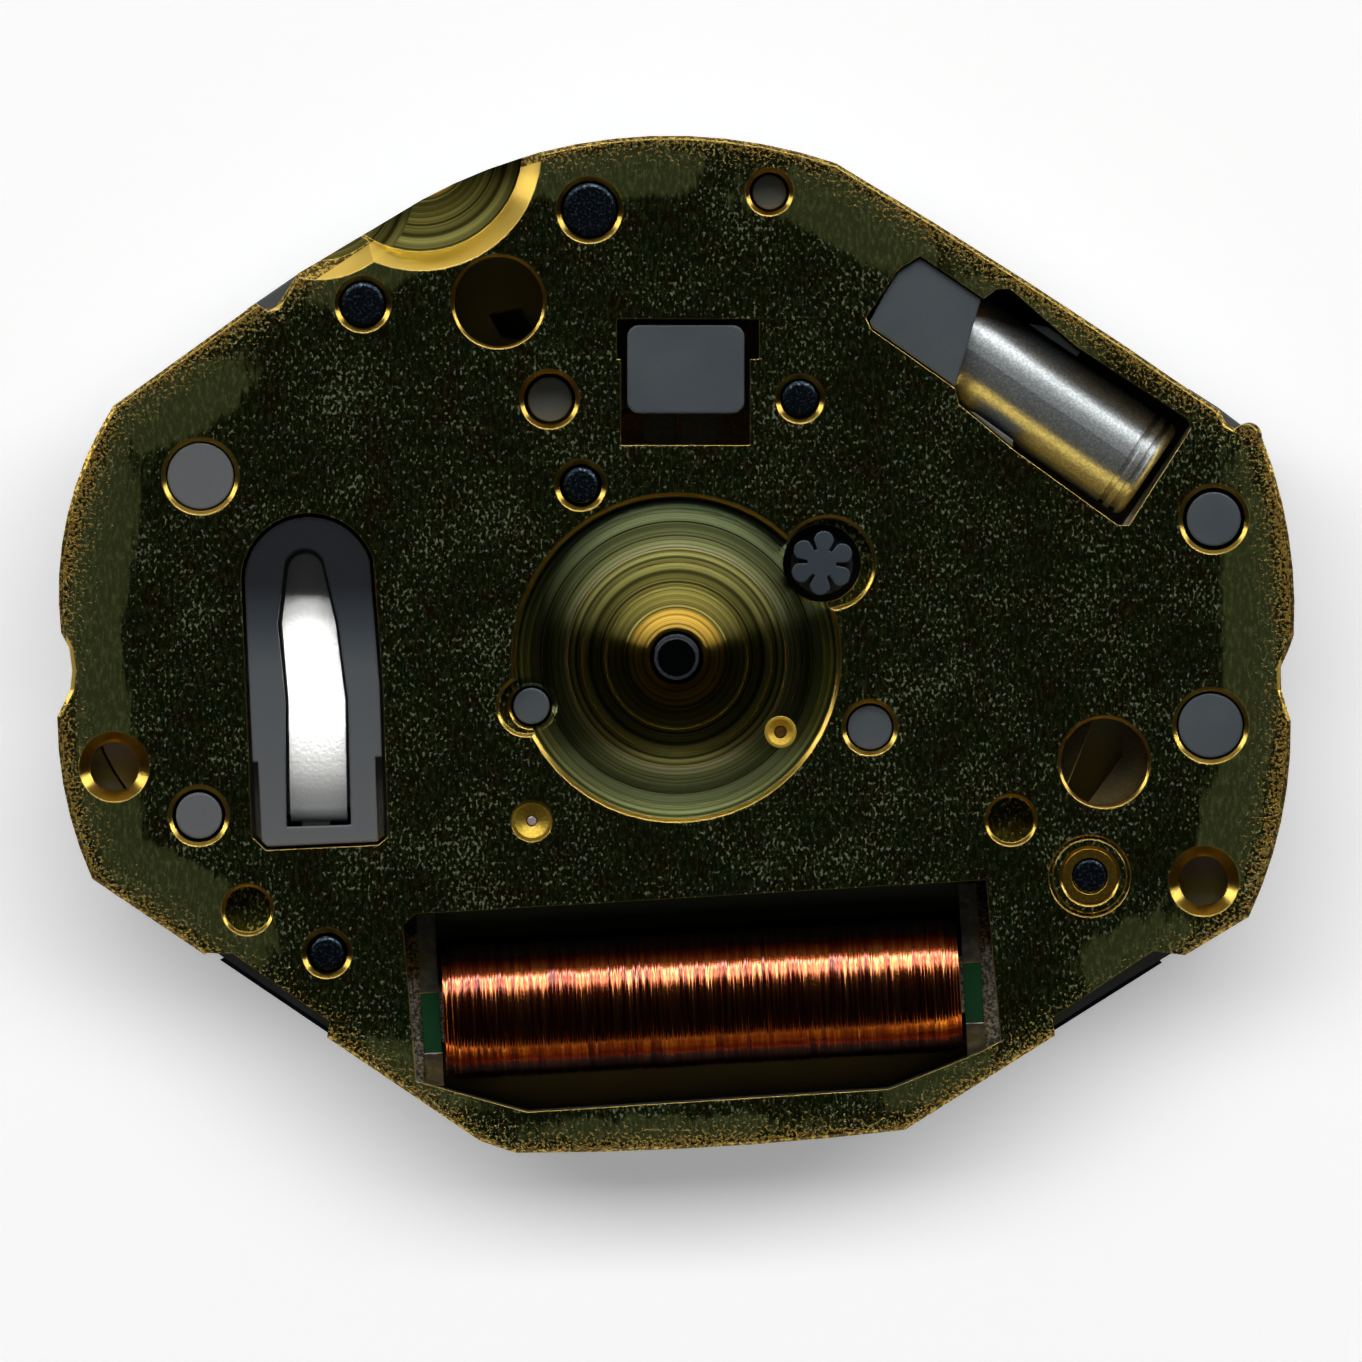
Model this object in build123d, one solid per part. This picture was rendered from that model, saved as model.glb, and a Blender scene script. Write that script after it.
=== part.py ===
from build123d import *
import os
from math import atan2, cos, degrees, radians, sin, sqrt

os.makedirs("parts", exist_ok=True)

# A ladies' quartz watch movement with an hour and a minute hand, seen on its dial side.
# The origin is on the hand axis in the dial face. +X points to the winding stem at 3 o'clock,
# +Y to 12 o'clock and +Z out of the dial face, towards the hands.

# Scale of the photograph: its pixel places become millimetres by the real length of the plate.
plate_length = 17.5
plate_length_px = 1239
hand_axis_px = (676.5, 657.5)
mm_per_px = plate_length / plate_length_px


def at(place_px):
    """A pixel of the photograph as a place in millimetres from the hand axis."""
    x_px, y_px = place_px
    return ((x_px - hand_axis_px[0]) * mm_per_px, (hand_axis_px[1] - y_px) * mm_per_px)


# Heights, from the dial face down to the back that the movement rests on.
plate_thickness = 0.70
movement_thickness = 3.15
works_depth = 0.34        # room for the minute and setting wheels under the plate
web_thickness = 0.18      # plastic between these wheels and the going train
frame_thickness = 1.75
spacer_thickness = 0.15
board_thickness = 0.15
cover_thickness = 0.15
cover_gap = 0.08          # leaves room for the solder
bridge_thickness = 0.20
frame_top = -plate_thickness
works_floor = frame_top - works_depth
train_top = works_floor - web_thickness
frame_bottom = frame_top - frame_thickness
spacer_bottom = frame_bottom - spacer_thickness
board_bottom = spacer_bottom - board_thickness
cover_top = board_bottom - cover_gap
cover_bottom = cover_top - cover_thickness
back = -movement_thickness
bridge_bottom = frame_bottom - bridge_thickness
overrun = 0.5             # how far cuts run past the faces that they cut

# Clearances.
pivot_play = 0.015
wheel_play = 0.10
part_play = 0.05

# Hour-wheel recess in the dial face, with the boss that carries the hour wheel.
recess_radius = 2.28
recess_chamfer = 0.05
recess_depth = 0.16
recess_groove_radii = [2.11, 1.93, 1.74, 1.57, 1.36, 1.02]
recess_groove_width = 0.03
recess_groove_depth = 0.01
boss_radius = 0.755
boss_top_radius = 0.43
boss_shoulder_radius = 0.70
boss_drop = 0.03
boss_shoulder_drop = 0.12
boss_bore_radius = 0.38
boss_rim_radius = 0.42
boss_rim_depth = 0.06
edge_chamfer = 0.06
hole_chamfer = 0.04
post_hole_chamfer = 0.06
pin_hole_chamfer = 0.07

# The hand post and the minute hand's friction drive.
post_radius = 0.33
post_foot_radius = 0.345     # the body under the hand seat widens a little to its foot
hand_seat_radius = 0.315
hand_seat_drop = 0.05
post_height = 1.00
post_chamfer = 0.05
arbor_radius = 0.15
arbor_rise = 0.55

# Going train: teeth, leaves and modules set the centre distances.
centre_teeth = 36
third_leaves = 6
third_teeth = 28
intermediate_leaves = 8
intermediate_teeth = 30
rotor_leaves = 7
centre_module = 0.08605
third_module = 0.104
intermediate_module = 0.106
third_angle = -35.6
intermediate_angle = -146.8
rotor_angle = 186.8
addendum_share = 0.90
dedendum_share = 1.25
tooth_width_share = 0.44
wheel_thickness = 0.12
train_gap = 0.08
third_well_gap = 0.12
centre_to_third_drop = 0.33
third_to_intermediate_drop = 0.18
pinion_margin = 0.08
pivot_radius = 0.075
train_arbor_radius = 0.10
rotor_pivot_radius = 0.065
pivot_shoulder = 0.04
arbor_shoulder = 0.45
centre_hub_radius = 0.50
third_hub_radius = 0.42
rim_width = 0.14
crossing_count = 4
crossing_angle = 90
crossing_share = 0.85
bridge_pivot_reach = 0.16
plate_pivot_reach = 0.25
intermediate_reach = 0.14

# Motion work under the dial: cannon pinion, minute wheel and setting wheel.
cannon_leaves = 12
minute_teeth = 24
minute_leaves = 6
setting_teeth = 12
motion_module = 0.1361
hour_module = 0.1167
hour_teeth = 36
motion_thickness = 0.22
motion_gap = 0.06
minute_angle = 33.0
minute_pinion_drop = 0.06
minute_post_radius = 0.20
minute_post_top = -0.35
minute_neck_radius = 0.44
minute_pinion_length = 0.40
leaf_phase = -95
leaf_width_share = 0.80
setting_post_radius = 0.20
leaf_hole_radius = 0.55
leaf_pocket_radius = 0.64
leaf_pocket_depth = 0.30
leaf_pocket_px = (828, 563)

# Stem, clutch wheel, setting lever and yoke.
stem_height = -1.45
stem_bore_radius = 0.50
stem_bearing_start = 7.30
pilot_bore_radius = 0.28
pilot_bore_start = 3.25
clutch_radius = 0.62
clutch_bore_width = 0.40
clutch_groove_radius = 0.33
clutch_groove_width = 0.28
clutch_length = 0.92
clutch_travel = 0.25
clutch_teeth = 8
crown_tooth_width = 0.15
crown_tooth_length = 0.22
crown_tooth_height = 0.12
crown_gap = 0.14
lever_thickness = 0.18
lever_gap = 0.04
lever_pin_px = (1089.8, 876)
lever_pin_radius = 0.255
lever_collar_radius = 0.388
lever_groove_radius = 0.58
lever_groove_width = 0.06
lever_groove_depth = 0.05
lever_hub_radius = 0.62
lever_nose_place = (6.55, -0.05)
lever_nose_radius = 0.22
lever_stud_radius = 0.12
lever_stud_reach = -1.35
lever_waist_place = (6.52, -1.45)
lever_waist_radius = 0.19
yoke_stud_px = (1011, 820)
yoke_stud_radius = 0.32
yoke_hub_radius = 0.58
yoke_elbow_y = -0.95
yoke_thickness = 0.18
yoke_nose_reach = -0.33
yoke_nose_width = 0.16
keyless_web = 0.08
clutch_slot_half_width = 0.75
clutch_slot_bottom = -2.15
jumper_thickness = 0.12
lever_pin_seat = 0.30
collar_drop = 0.02
spring_screw_place = (6.42, -3.44)
spring_base_radius = 0.26
spring_head_radius = 0.20
spring_head_height = 0.10
spring_slot_width = 0.08
spring_screw_depth = 0.30
spring_arm_end = (5.50, -3.68)
spring_arm_width = 0.12
spring_stud_place = (5.48, -3.44)
spring_stud_radius = 0.08
keyless_points = [
    (4.05, -1.70), (4.05, -2.75), (4.60, -3.27), (5.32, -3.27), (5.34, -3.82), (6.80, -3.82),
    (6.86, -3.10), (6.86, -2.20), (7.05, -1.60), (7.05, -0.90), (7.30, -0.45), (7.30, 0.30),
    (6.15, 0.30), (5.15, -0.90),
]

# Battery: a silver-oxide button cell of 5.8 by 2.15 mm, its negative cap to the dial.
cell_diameter = 5.80
cell_height = 2.15
cell_place = (-5.32, -0.06)
cell_cap_diameter = 4.50
cell_corner = 0.22
gasket_width = 0.14
gasket_rise = 0.03
cell_shoulder = 0.25
cell_rim = 0.08
cell_cap_depth = 0.60
well_play = 0.08
insulator_thickness = 0.20
insulator_seat_radius = 3.08     # the sheet rests on a step round the well and covers the well's gap
insulator_seat_play = 0.03
insulator_drop = 0.06
insulator_foot_drop = 0.45
strip_thickness = 0.09
strip_rise_px = [553, 575, 610, 690, 770, 800, 822]
strip_rise_heights = [-0.92, -0.84, -0.71, -0.44, -0.27, -0.33, -0.88]
contact_thickness = 0.10
contact_sweep = 44.0
contact_angle = 62.0
contact_play = 0.02
strip_play = 0.01
contact_end_play = 3.0
contact_top = -1.60
contact_foot_width = 0.50
minus_tail_px = (315, 880.5)
minus_tail_width = 0.40

# Coil with its core and stator.
coil_centre_px = (702, 1000)
coil_tilt = 3.2
coil_height = -1.15
coil_diameter = 1.94
coil_length = 7.33
coil_core_width = 0.80
coil_core_thickness = 0.30
coil_length_px = 519
core_pad_gap = 0.265
core_pad_length = 0.95
core_pad_high = 1.15
coil_tape = 0.05
stator_thickness = 0.30
stator_lobe_radius = 0.98
stator_bore_radius = 0.74
stator_bar_low = 1.62
stator_bar_high = 2.25
channel_floor = -2.20
channel_high = 1.04
channel_shelf = -1.55
core_pad_low = -1.00
core_pad_step = 0.10
core_pad_slant = 0.19
coil_screw_inset = 0.49
coil_screw_across = 0.55
stator_ear_width = 0.30
end_board_width = 0.26
end_board_thickness = 0.10
end_board_low = -1.02
end_board_high = 1.42
end_pad_thickness = 0.02
end_mask_low = -0.55
end_mask_high = 0.30
magnet_radius = 0.55
magnet_height = 0.40
rotor_sleeve_radius = 0.24
stator_screw_head = 0.42
stator_screw_head_height = 0.20
stator_screw_shank = 0.17

# Tuning-fork crystal in its can.
can_diameter = 1.50
can_wall = 0.10
can_length = 4.25
can_end_reach = 1.63
can_end_play = 0.10
can_axis_px = (1055, 407)
can_tilt = -34.2
can_top = -0.24
can_grooves_from_end = [0.12, 0.30]
can_groove_width = 0.08
can_groove_depth = 0.05
header_thickness = 0.35
lead_radius = 0.075
lead_spacing = 0.50
lead_run = 0.22
fork_length = 2.6
fork_width = 0.70
fork_slot_width = 0.16
fork_thickness = 0.20
fork_slot_share = 0.7
fork_end_play = 0.12
fork_tail_radius = 0.06
can_corner = 0.12
can_room_low = 0.92
can_room_high = 1.07
can_room_end = 0.55
can_length_px = 300.9
crystal_tab_top = -0.35
crystal_catch_top = -0.50
crystal_tab_inner = 0.10
crystal_tab_along = (1.80, 2.68)
block_drop = 0.06
top_moat_low_px = (606, 312)
top_moat_high_px = (770, 452)
top_moat_floor = -1.30
top_well_low_px = (618, 408)
top_well_high_px = (754, 450)

# Outline of the plate in the photograph, clockwise from the milled step at the upper left.
outline_start_px = (390, 218)
outline_px = [
    ("arc", (694, 136), (836, 163)),
    ("arc", (1050, 296), (1219, 410)),
    ("line", (1227, 424)),
    ("line", (1237, 430)),
    ("arc", (1250, 422.5), (1262, 437)),
    ("arc", (1288, 530), (1294, 635)),
    ("line", (1290, 647)),
    ("line", (1281, 667)),
    ("line", (1281.5, 690)),
    ("line", (1291, 721)),
    ("arc", (1284, 808), (1249, 917)),
    ("line", (1131, 988)),
    ("line", (905, 1130)),
    ("arc", (700, 1148), (515, 1153)),
    ("line", (480, 1141)),
    ("line", (92, 879)),
    ("arc", (64, 790), (57, 717)),
    ("line", (70, 690)),
    ("line", (72, 670)),
    ("line", (69, 648)),
    ("line", (61, 633)),
    ("arc", (66, 520), (113, 406)),
    ("line", (256, 303)),
    ("line", (265, 309)),
    ("line", (276, 307)),
    ("line", (298, 273)),
    ("line", (390, 218)),
]

# Places where the plastic frame shows past the plate's edge.
frame_ledge_right_px = [(1190, 388), (1219, 406.5), (1242, 424), (1236, 440), (1190, 440)]
frame_ledge_left_px = [(246, 308), (298.5, 272), (310, 290), (262, 330)]
spacer_ledge_left_px = [(216, 962), (327, 1037), (350, 1015), (245, 945)]
spacer_ledge_right_px = [(1166, 965), (1053, 1036), (1040, 1010), (1148, 944)]
plate_notch_left_px = [(206, 953), (233, 954), (330, 1022), (322, 1060), (190, 980)]
plate_notch_right_px = [(1153, 951), (1190, 956), (1060, 1060), (1052, 1018)]

# Windows and holes of the plate in the photograph.
coil_window_px = [
    (416, 914), (986, 880), (1001, 1041), (978, 1053), (889, 1089), (527, 1112), (416, 1081), (403, 925)
]
crystal_lead_side_px = 990
crystal_window_px = [
    (898, 270), (920, 256), (984, 299), (997, 289), (1010, 289), (1077, 347), (1188, 419), (1191, 428),
    (1129, 525), (1118, 525), (1013, 449), (959, 404), (955, 388), (871, 329), (866, 318),
]
crystal_bridge_px = [(898, 270), (920, 256), (982, 296), (955, 387), (872, 329)]
crystal_leg_px = [(896, 272), (916, 286), (884, 336), (868, 325)]
crystal_tab_px = [(962, 409), (975, 412), (1014, 440), (1012, 449), (962, 412)]
crystal_catch_px = [(1029, 323), (1048, 326), (1082, 350), (1078, 356), (1042, 332)]
contact_window_top_px = (308, 513)
contact_window_left_px = [(241, 579), (249, 760), (252, 837), (266, 850)]
contact_window_right_px = [(378, 845), (388, 837), (383, 687), (373, 559)]
insulator_foot_left_px = [(230, 762), (258, 762), (262, 846), (240, 860)]
insulator_foot_right_px = [(400, 757), (375, 757), (378, 846), (400, 860)]
strip_slot_px = [
    (284, 568), (277, 623), (285, 700), (286, 827), (351, 825), (348, 700), (338, 623), (325, 568)
]
strip_slot_top_px = (304, 549)
strip_px = [(287, 569), (281, 623), (288, 700), (290, 826), (347, 826), (345, 700), (335, 623), (322, 569)]
strip_top_px = (304, 553)
top_window_high_px = (688, 339)
top_window_high_size_px = (142, 40)
top_window_low_px = (685.5, 388)
top_window_low_size_px = (129, 114)
top_block_px = (685.8, 369)
top_block_size_px = (117, 88)
top_block_corner_px = 12
bridge_openings_px = [
    [(643, 400), (643, 437), (660, 443), (676, 443), (676, 400)],
    [(680, 400), (680, 443), (700, 443), (722, 436), (722, 400)],
]

frame_post_places_px = [(549.6, 399), (769.5, 191.8), (1213.9, 518.9), (1210.7, 725.5), (870, 727.4)]
frame_post_radii = [0.311, 0.240, 0.381, 0.452, 0.311]
frame_post_hole_radii = [0.365, 0.282, 0.440, 0.483, 0.341]
frame_post_drops = [0.34, 0.28, 0.06, 0.06, 0.10]
recess_post_px = (531.4, 706)
recess_post_radius = 0.254
recess_post_bore_radius = 0.290
recess_post_pocket_px = (527, 706)
recess_post_pocket_radius = 0.40
recess_post_pocket_depth = 0.20
insulator_post_places_px = [(200.4, 476), (198.8, 815.6)]
insulator_post_radii = [0.466, 0.325]
insulator_post_hole_radii = [0.490, 0.375]
frame_pillar_places_px = [(589.6, 209.7), (362.8, 304), (327, 953)]
frame_pillar_radii = [0.381, 0.311, 0.240]
frame_pillar_hole_radii = [0.405, 0.335, 0.290]
bridge_pillar_places_px = [(580.7, 485), (800, 398.5)]
bridge_pillar_radius = 0.254
bridge_pillar_hole_radii = [0.300, 0.282]
pillar_drop = 0.04
pillar_play = 0.02
pillar_thread_radius = 0.13
pillar_thread_depth = 0.70
dial_foot_places_px = [(114.3, 766.8), (1204, 881)]
dial_foot_radius = 0.35
dial_foot_chamfer = 0.15
view_hole_place_px = (498.6, 301.5)
view_hole_radius = 0.63
view_floor_height = -1.85
view_opening_px = [(488, 312), (520, 306), (532, 326), (520, 338), (500, 334)]
release_hole_px = (1104.5, 762)
release_hole_radius = 0.617
pierced_stud_px = (247.5, 909.7)
pierced_hole_radius = 0.33
pierced_hole_depth = 0.30
pierced_stud_length = 0.45

# Milled step at the upper left edge: two overlapping cone-sided cuts.
step_places_px = [(420, 149), (318, 185)]
step_radii = [1.72, 1.34]
step_depths = [0.36, 0.30]
step_slope_width = 0.28

# Bushes in the plate.
bush_radius = 0.226
bush_sink_depth = 0.08
bush_sink_rim = 0.05
rotor_bush_radius = 0.29
rotor_bush_drop = 0.03

# Circuit, cover and screws at the back.
frame_inset = 0.13
spacer_inset = 0.30
board_inset = 0.45
cover_inset = 0.62
battery_opening_play = 0.20
board_cut_x = -4.2
chip_place = (3.9, 3.9)
chip_size = 1.5
chip_height = 0.20
chip_window_play = 0.30
pad_radius = 0.28
pad_height = 0.06
coil_solder_inset = 0.265
coil_solder_across = -0.60
cover_screw_head_radius = 0.52
bridge_screw_head_radius = 0.40
bridge_screw_head_height = 0.08
screw_shank_radius = 0.13
screw_slot_width = 0.14
screw_slot_depth = 0.08
screw_edge = 0.03
screw_angles = [25, 80, 140, 55, 110]
pillar_edge = 0.03
battery_side = 2.2
chip_corner = 0.3
jewel_radius = 0.30
cover_tube_places = [(7.0, 1.3), (7.15, -2.2)]
cover_tube_top = -1.60
cover_tube_radius = 0.28
bridge_node_radius = 0.72
coil_tube_radius = 0.28


def slab(profile, top, bottom):
    """A flat profile as a plate between two heights."""
    return Pos(0, 0, bottom) * extrude(profile, amount=top - bottom)


def polygon(points):
    return make_face(Polyline(*points, close=True))


def polygon_px(points_px):
    return polygon([at(p) for p in points_px])


def disc(place, radius):
    return Pos(*place) * Circle(radius)


def rod(place, radius, top, bottom):
    return slab(disc(place, radius), top, bottom)


def cone(place, top_radius, bottom_radius, top, bottom):
    middle = (top + bottom) / 2
    return Pos(*place, middle) * Cone(bottom_radius, top_radius, top - bottom)


def hole(place, radius, chamfer_width, top, bottom):
    """A cutter for a round hole with a chamfered mouth at the dial face."""
    mouth = cone(place, radius + 2 * chamfer_width, radius, top + chamfer_width, top - chamfer_width)
    return rod(place, radius, top + overrun, bottom - overrun) + mouth


def polar(origin, distance, angle):
    return (origin[0] + distance * cos(radians(angle)), origin[1] + distance * sin(radians(angle)))


def direction(start, end):
    return degrees(atan2(end[1] - start[1], end[0] - start[0]))


def tip_radius(teeth, module):
    return module * (teeth / 2 + addendum_share)


def gear(teeth, module, phase, width_share=tooth_width_share):
    """The outline of a wheel or pinion, with one tooth centred at the phase angle."""
    pitch_r = module * teeth / 2
    root_r = pitch_r - dedendum_share * module
    tip_r = tip_radius(teeth, module)
    step = 360 / teeth
    half = step * width_share / 2
    edges = []
    for i in range(teeth):
        middle = phase + i * step
        foot_in = polar((0, 0), root_r, middle - half)
        flank_in = polar((0, 0), pitch_r, middle - half)
        tip = polar((0, 0), tip_r, middle)
        flank_out = polar((0, 0), pitch_r, middle + half)
        foot_out = polar((0, 0), root_r, middle + half)
        valley = polar((0, 0), root_r, middle + step / 2)
        next_foot = polar((0, 0), root_r, middle + step - half)
        edges.append(Line(foot_in, flank_in))
        edges.append(ThreePointArc(flank_in, tip, flank_out))
        edges.append(Line(flank_out, foot_out))
        edges.append(ThreePointArc(foot_out, valley, next_foot))
    return make_face(edges)


def mesh_phase(phase, teeth, place, other_place, other_teeth):
    """The phase that puts another gear's gap on this gear's tooth, on the line between them."""
    toward = direction(place, other_place)
    offset = toward - phase
    return toward + 180 + offset * teeth / other_teeth + 180 / other_teeth


# Places of the arbors.
centre = (0, 0)
third_place = polar(centre, centre_module * (centre_teeth + third_leaves) / 2, third_angle)
intermediate_distance = third_module * (third_teeth + intermediate_leaves) / 2
intermediate_place = polar(third_place, intermediate_distance, intermediate_angle)
rotor_distance = intermediate_module * (intermediate_teeth + rotor_leaves) / 2
rotor_place = polar(intermediate_place, rotor_distance, rotor_angle)
minute_place = polar(centre, hour_module * (hour_teeth + minute_leaves) / 2, minute_angle)
setting_distance = motion_module * (minute_teeth + setting_teeth) / 2
setting_place = (minute_place[0] + sqrt(setting_distance**2 - minute_place[1] ** 2), 0)

# Heights of the wheels, one under the other.
centre_wheel_top = train_top - train_gap
centre_wheel_bottom = centre_wheel_top - wheel_thickness
third_pinion_top = centre_wheel_top + pinion_margin / 2
third_wheel_top = centre_wheel_bottom - centre_to_third_drop
third_pinion_bottom = third_wheel_top
third_wheel_bottom = third_wheel_top - wheel_thickness
intermediate_pinion_top = third_wheel_top + pinion_margin / 2
intermediate_wheel_top = third_wheel_bottom - third_to_intermediate_drop
intermediate_wheel_bottom = intermediate_wheel_top - wheel_thickness
rotor_pinion_top = intermediate_wheel_top + pinion_margin
rotor_pinion_bottom = intermediate_wheel_bottom - pinion_margin

intermediate_well_top = intermediate_pinion_top + train_gap / 2
third_well_top = third_wheel_top + third_well_gap
motion_top = frame_top - motion_gap
motion_bottom = motion_top - motion_thickness
lever_top = frame_top - lever_gap
lever_bottom = lever_top - lever_thickness
yoke_top = lever_bottom - lever_gap
yoke_bottom = yoke_top - yoke_thickness
keyless_floor = yoke_bottom - keyless_web
lever_pin_bottom = keyless_floor - lever_pin_seat
spring_top = keyless_floor + jumper_thickness
core_pad_start = coil_length / 2 + core_pad_gap
core_pad_end = core_pad_start + core_pad_length
core_pad_mouth = core_pad_start + core_pad_slant
coil_screw_along = core_pad_start + coil_screw_inset
coil_solder_along = coil_length / 2 - coil_solder_inset
coil_core_top = coil_height + coil_core_thickness / 2
coil_core_bottom = coil_core_top - coil_core_thickness
stator_top = coil_core_bottom
stator_bottom = stator_top - stator_thickness
magnet_top = (stator_top + stator_bottom + magnet_height) / 2
magnet_bottom = magnet_top - magnet_height
can_height = can_top - can_diameter / 2
can_floor = can_height - can_diameter / 2 - part_play
can_end_place = polar(at(can_axis_px), can_end_reach, can_tilt)
clutch_inner_end = setting_place[0] + tip_radius(setting_teeth, motion_module) + crown_gap
clutch_outer_end = clutch_inner_end + clutch_length
clutch_groove_middle = (clutch_inner_end + clutch_outer_end) / 2 + crown_tooth_height / 2
cell_top = frame_top - insulator_thickness - strip_thickness - strip_play
cell_bottom = cell_top - cell_height
cell_floor = cell_top - cell_cap_depth


def plate_profile():
    """The outline of the main plate."""
    edges = []
    start = at(outline_start_px)
    for kind, *points in outline_px:
        places = [at(p) for p in points]
        if kind == "arc":
            edges.append(ThreePointArc(start, *places))
        else:
            edges.append(Line(start, places[0]))
        start = places[-1]
    return make_face(edges)


plate_outline = plate_profile()


def inset_outline(inset):
    """The plate's outline drawn in towards the hand axis."""
    return scale(plate_outline, by=1 - 2 * inset / plate_length)


def contact_window():
    """The window over the battery, with its round upper end."""
    left = [at(p) for p in contact_window_left_px]
    right = [at(p) for p in contact_window_right_px]
    top = ThreePointArc(right[-1], at(contact_window_top_px), left[0])
    return make_face([Polyline(*left, *right), top])


def top_window():
    """The stepped window over the black snap hooks."""
    high = Pos(*at(top_window_high_px)) * Rectangle(*[s * mm_per_px for s in top_window_high_size_px])
    low = Pos(*at(top_window_low_px)) * Rectangle(*[s * mm_per_px for s in top_window_low_size_px])
    return high + low


def coil_at(along, across):
    """A place beside the coil: along its axis and across it, from its middle."""
    x, y = at(coil_centre_px)
    turn = radians(coil_tilt)
    return (x + along * cos(turn) - across * sin(turn), y + along * sin(turn) + across * cos(turn))


def coil_window():
    """The window over the coil, whose ends keep their gap to the wire at any length of coil."""
    points = []
    for place_px in coil_window_px:
        side = 1 if place_px[0] > coil_centre_px[0] else -1
        longer = side * (coil_length - coil_length_px * mm_per_px) / 2
        points.append(polar(at(place_px), longer, coil_tilt))
    return polygon(points)


def coil_box(along_low, along_high, across_low, across_high):
    """A rectangle that lies along the coil."""
    corners = [
        (along_low, across_low), (along_high, across_low), (along_high, across_high),
        (along_low, across_high)
    ]
    return polygon([coil_at(*c) for c in corners])


def main_plate():
    """Brass plate: recess and boss for the hour wheel, windows, holes and the milled step."""
    plate = slab(plate_outline, -edge_chamfer, frame_top)
    plate += loft([Pos(0, 0, -edge_chamfer) * plate_outline, inset_outline(edge_chamfer)], ruled=True)
    plate -= [
        slab(polygon_px(p), overrun, frame_top - overrun)
        for p in (plate_notch_left_px, plate_notch_right_px)
    ]
    plate -= hole(centre, recess_radius, recess_chamfer, 0, overrun - recess_depth)
    plate += cone(centre, boss_top_radius, boss_shoulder_radius, -boss_drop, -boss_shoulder_drop)
    plate += cone(centre, boss_shoulder_radius, boss_radius, -boss_shoulder_drop, -recess_depth)
    for groove_radius in recess_groove_radii:
        ring = Circle(groove_radius) - Circle(groove_radius - recess_groove_width)
        plate -= slab(ring, -recess_depth + overrun, -recess_depth - recess_groove_depth)
    plate -= rod(centre, boss_bore_radius, overrun, frame_top - overrun)
    plate -= rod(centre, boss_rim_radius, overrun, -boss_drop - boss_rim_depth)
    cuts = [
        hole(at(p), r, post_hole_chamfer, 0, frame_top)
        for p, r in zip(frame_post_places_px, frame_post_hole_radii)
    ]
    cuts += [
        hole(at(p), r, post_hole_chamfer, 0, frame_top)
        for p, r in zip(insulator_post_places_px, insulator_post_hole_radii)
    ]
    cuts += [
        hole(at(p), r, pin_hole_chamfer, 0, frame_top)
        for p, r in zip(frame_pillar_places_px, frame_pillar_hole_radii)
    ]
    cuts += [
        hole(at(p), r, pin_hole_chamfer, 0, frame_top)
        for p, r in zip(bridge_pillar_places_px, bridge_pillar_hole_radii)
    ]
    cuts += [hole(at(p), dial_foot_radius, dial_foot_chamfer, 0, frame_top) for p in dial_foot_places_px]
    cuts.append(hole(at(view_hole_place_px), view_hole_radius, hole_chamfer, 0, frame_top))
    cuts.append(hole(at(release_hole_px), release_hole_radius, hole_chamfer, 0, frame_top))
    cuts.append(
        hole(at(recess_post_px), recess_post_bore_radius, hole_chamfer, -recess_post_pocket_depth, frame_top)
    )
    pocket_bottom = overrun - recess_post_pocket_depth
    cuts.append(hole(at(recess_post_pocket_px), recess_post_pocket_radius, hole_chamfer, 0, pocket_bottom))
    cuts.append(hole(at(lever_pin_px), lever_collar_radius, hole_chamfer, 0, frame_top))
    groove = disc(at(lever_pin_px), lever_groove_radius)
    groove -= disc(at(lever_pin_px), lever_groove_radius - lever_groove_width)
    cuts.append(slab(groove, overrun, -lever_groove_depth))
    cuts.append(rod(minute_place, leaf_hole_radius, overrun, frame_top - overrun))
    cuts.append(hole(at(leaf_pocket_px), leaf_pocket_radius, hole_chamfer, 0, overrun - leaf_pocket_depth))
    cuts.append(rod(third_place, bush_radius, overrun, frame_top - overrun))
    cuts.append(rod(rotor_place, rotor_bush_radius, overrun, frame_top - overrun))
    cuts.append(
        rod(intermediate_place, train_arbor_radius, frame_top + intermediate_reach, frame_top - overrun)
    )
    for place_px in (pierced_stud_px, yoke_stud_px):
        cuts.append(hole(at(place_px), pierced_hole_radius, hole_chamfer, 0, overrun - pierced_hole_depth))
    for window in (coil_window(), crystal_shape(crystal_window_px), contact_window(), top_window()):
        cuts.append(slab(window, overrun, frame_top - overrun))
    for place_px, radius, depth in zip(step_places_px, step_radii, step_depths):
        cuts.append(cone(at(place_px), radius, radius - step_slope_width, 0, -depth))
        cuts.append(rod(at(place_px), radius, overrun, 0))
    cuts.append(can_rod(can_diameter / 2 + part_play, -can_end_play, can_length + lead_run + part_play))
    plate -= cuts
    plate += rod(at(yoke_stud_px), yoke_stud_radius, frame_top, yoke_bottom - lever_gap)
    plate += rod(at(pierced_stud_px), pierced_hole_radius, frame_top, frame_top - pierced_stud_length)
    return plate


def along_can(shape):
    """Moves a shape from the origin to the can's closed end, with +Z turned to the leads and +X up."""
    x, y = can_end_place
    leads = polar((0, 0), -1, can_tilt)
    return Plane(origin=(x, y, can_height), x_dir=(0, 0, 1), z_dir=(*leads, 0)) * shape


def can_rod(radius, low, high):
    """A round rod on the can's axis, between two distances from its closed end."""
    return along_can(Pos(0, 0, low) * extrude(Circle(radius), amount=high - low))


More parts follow.
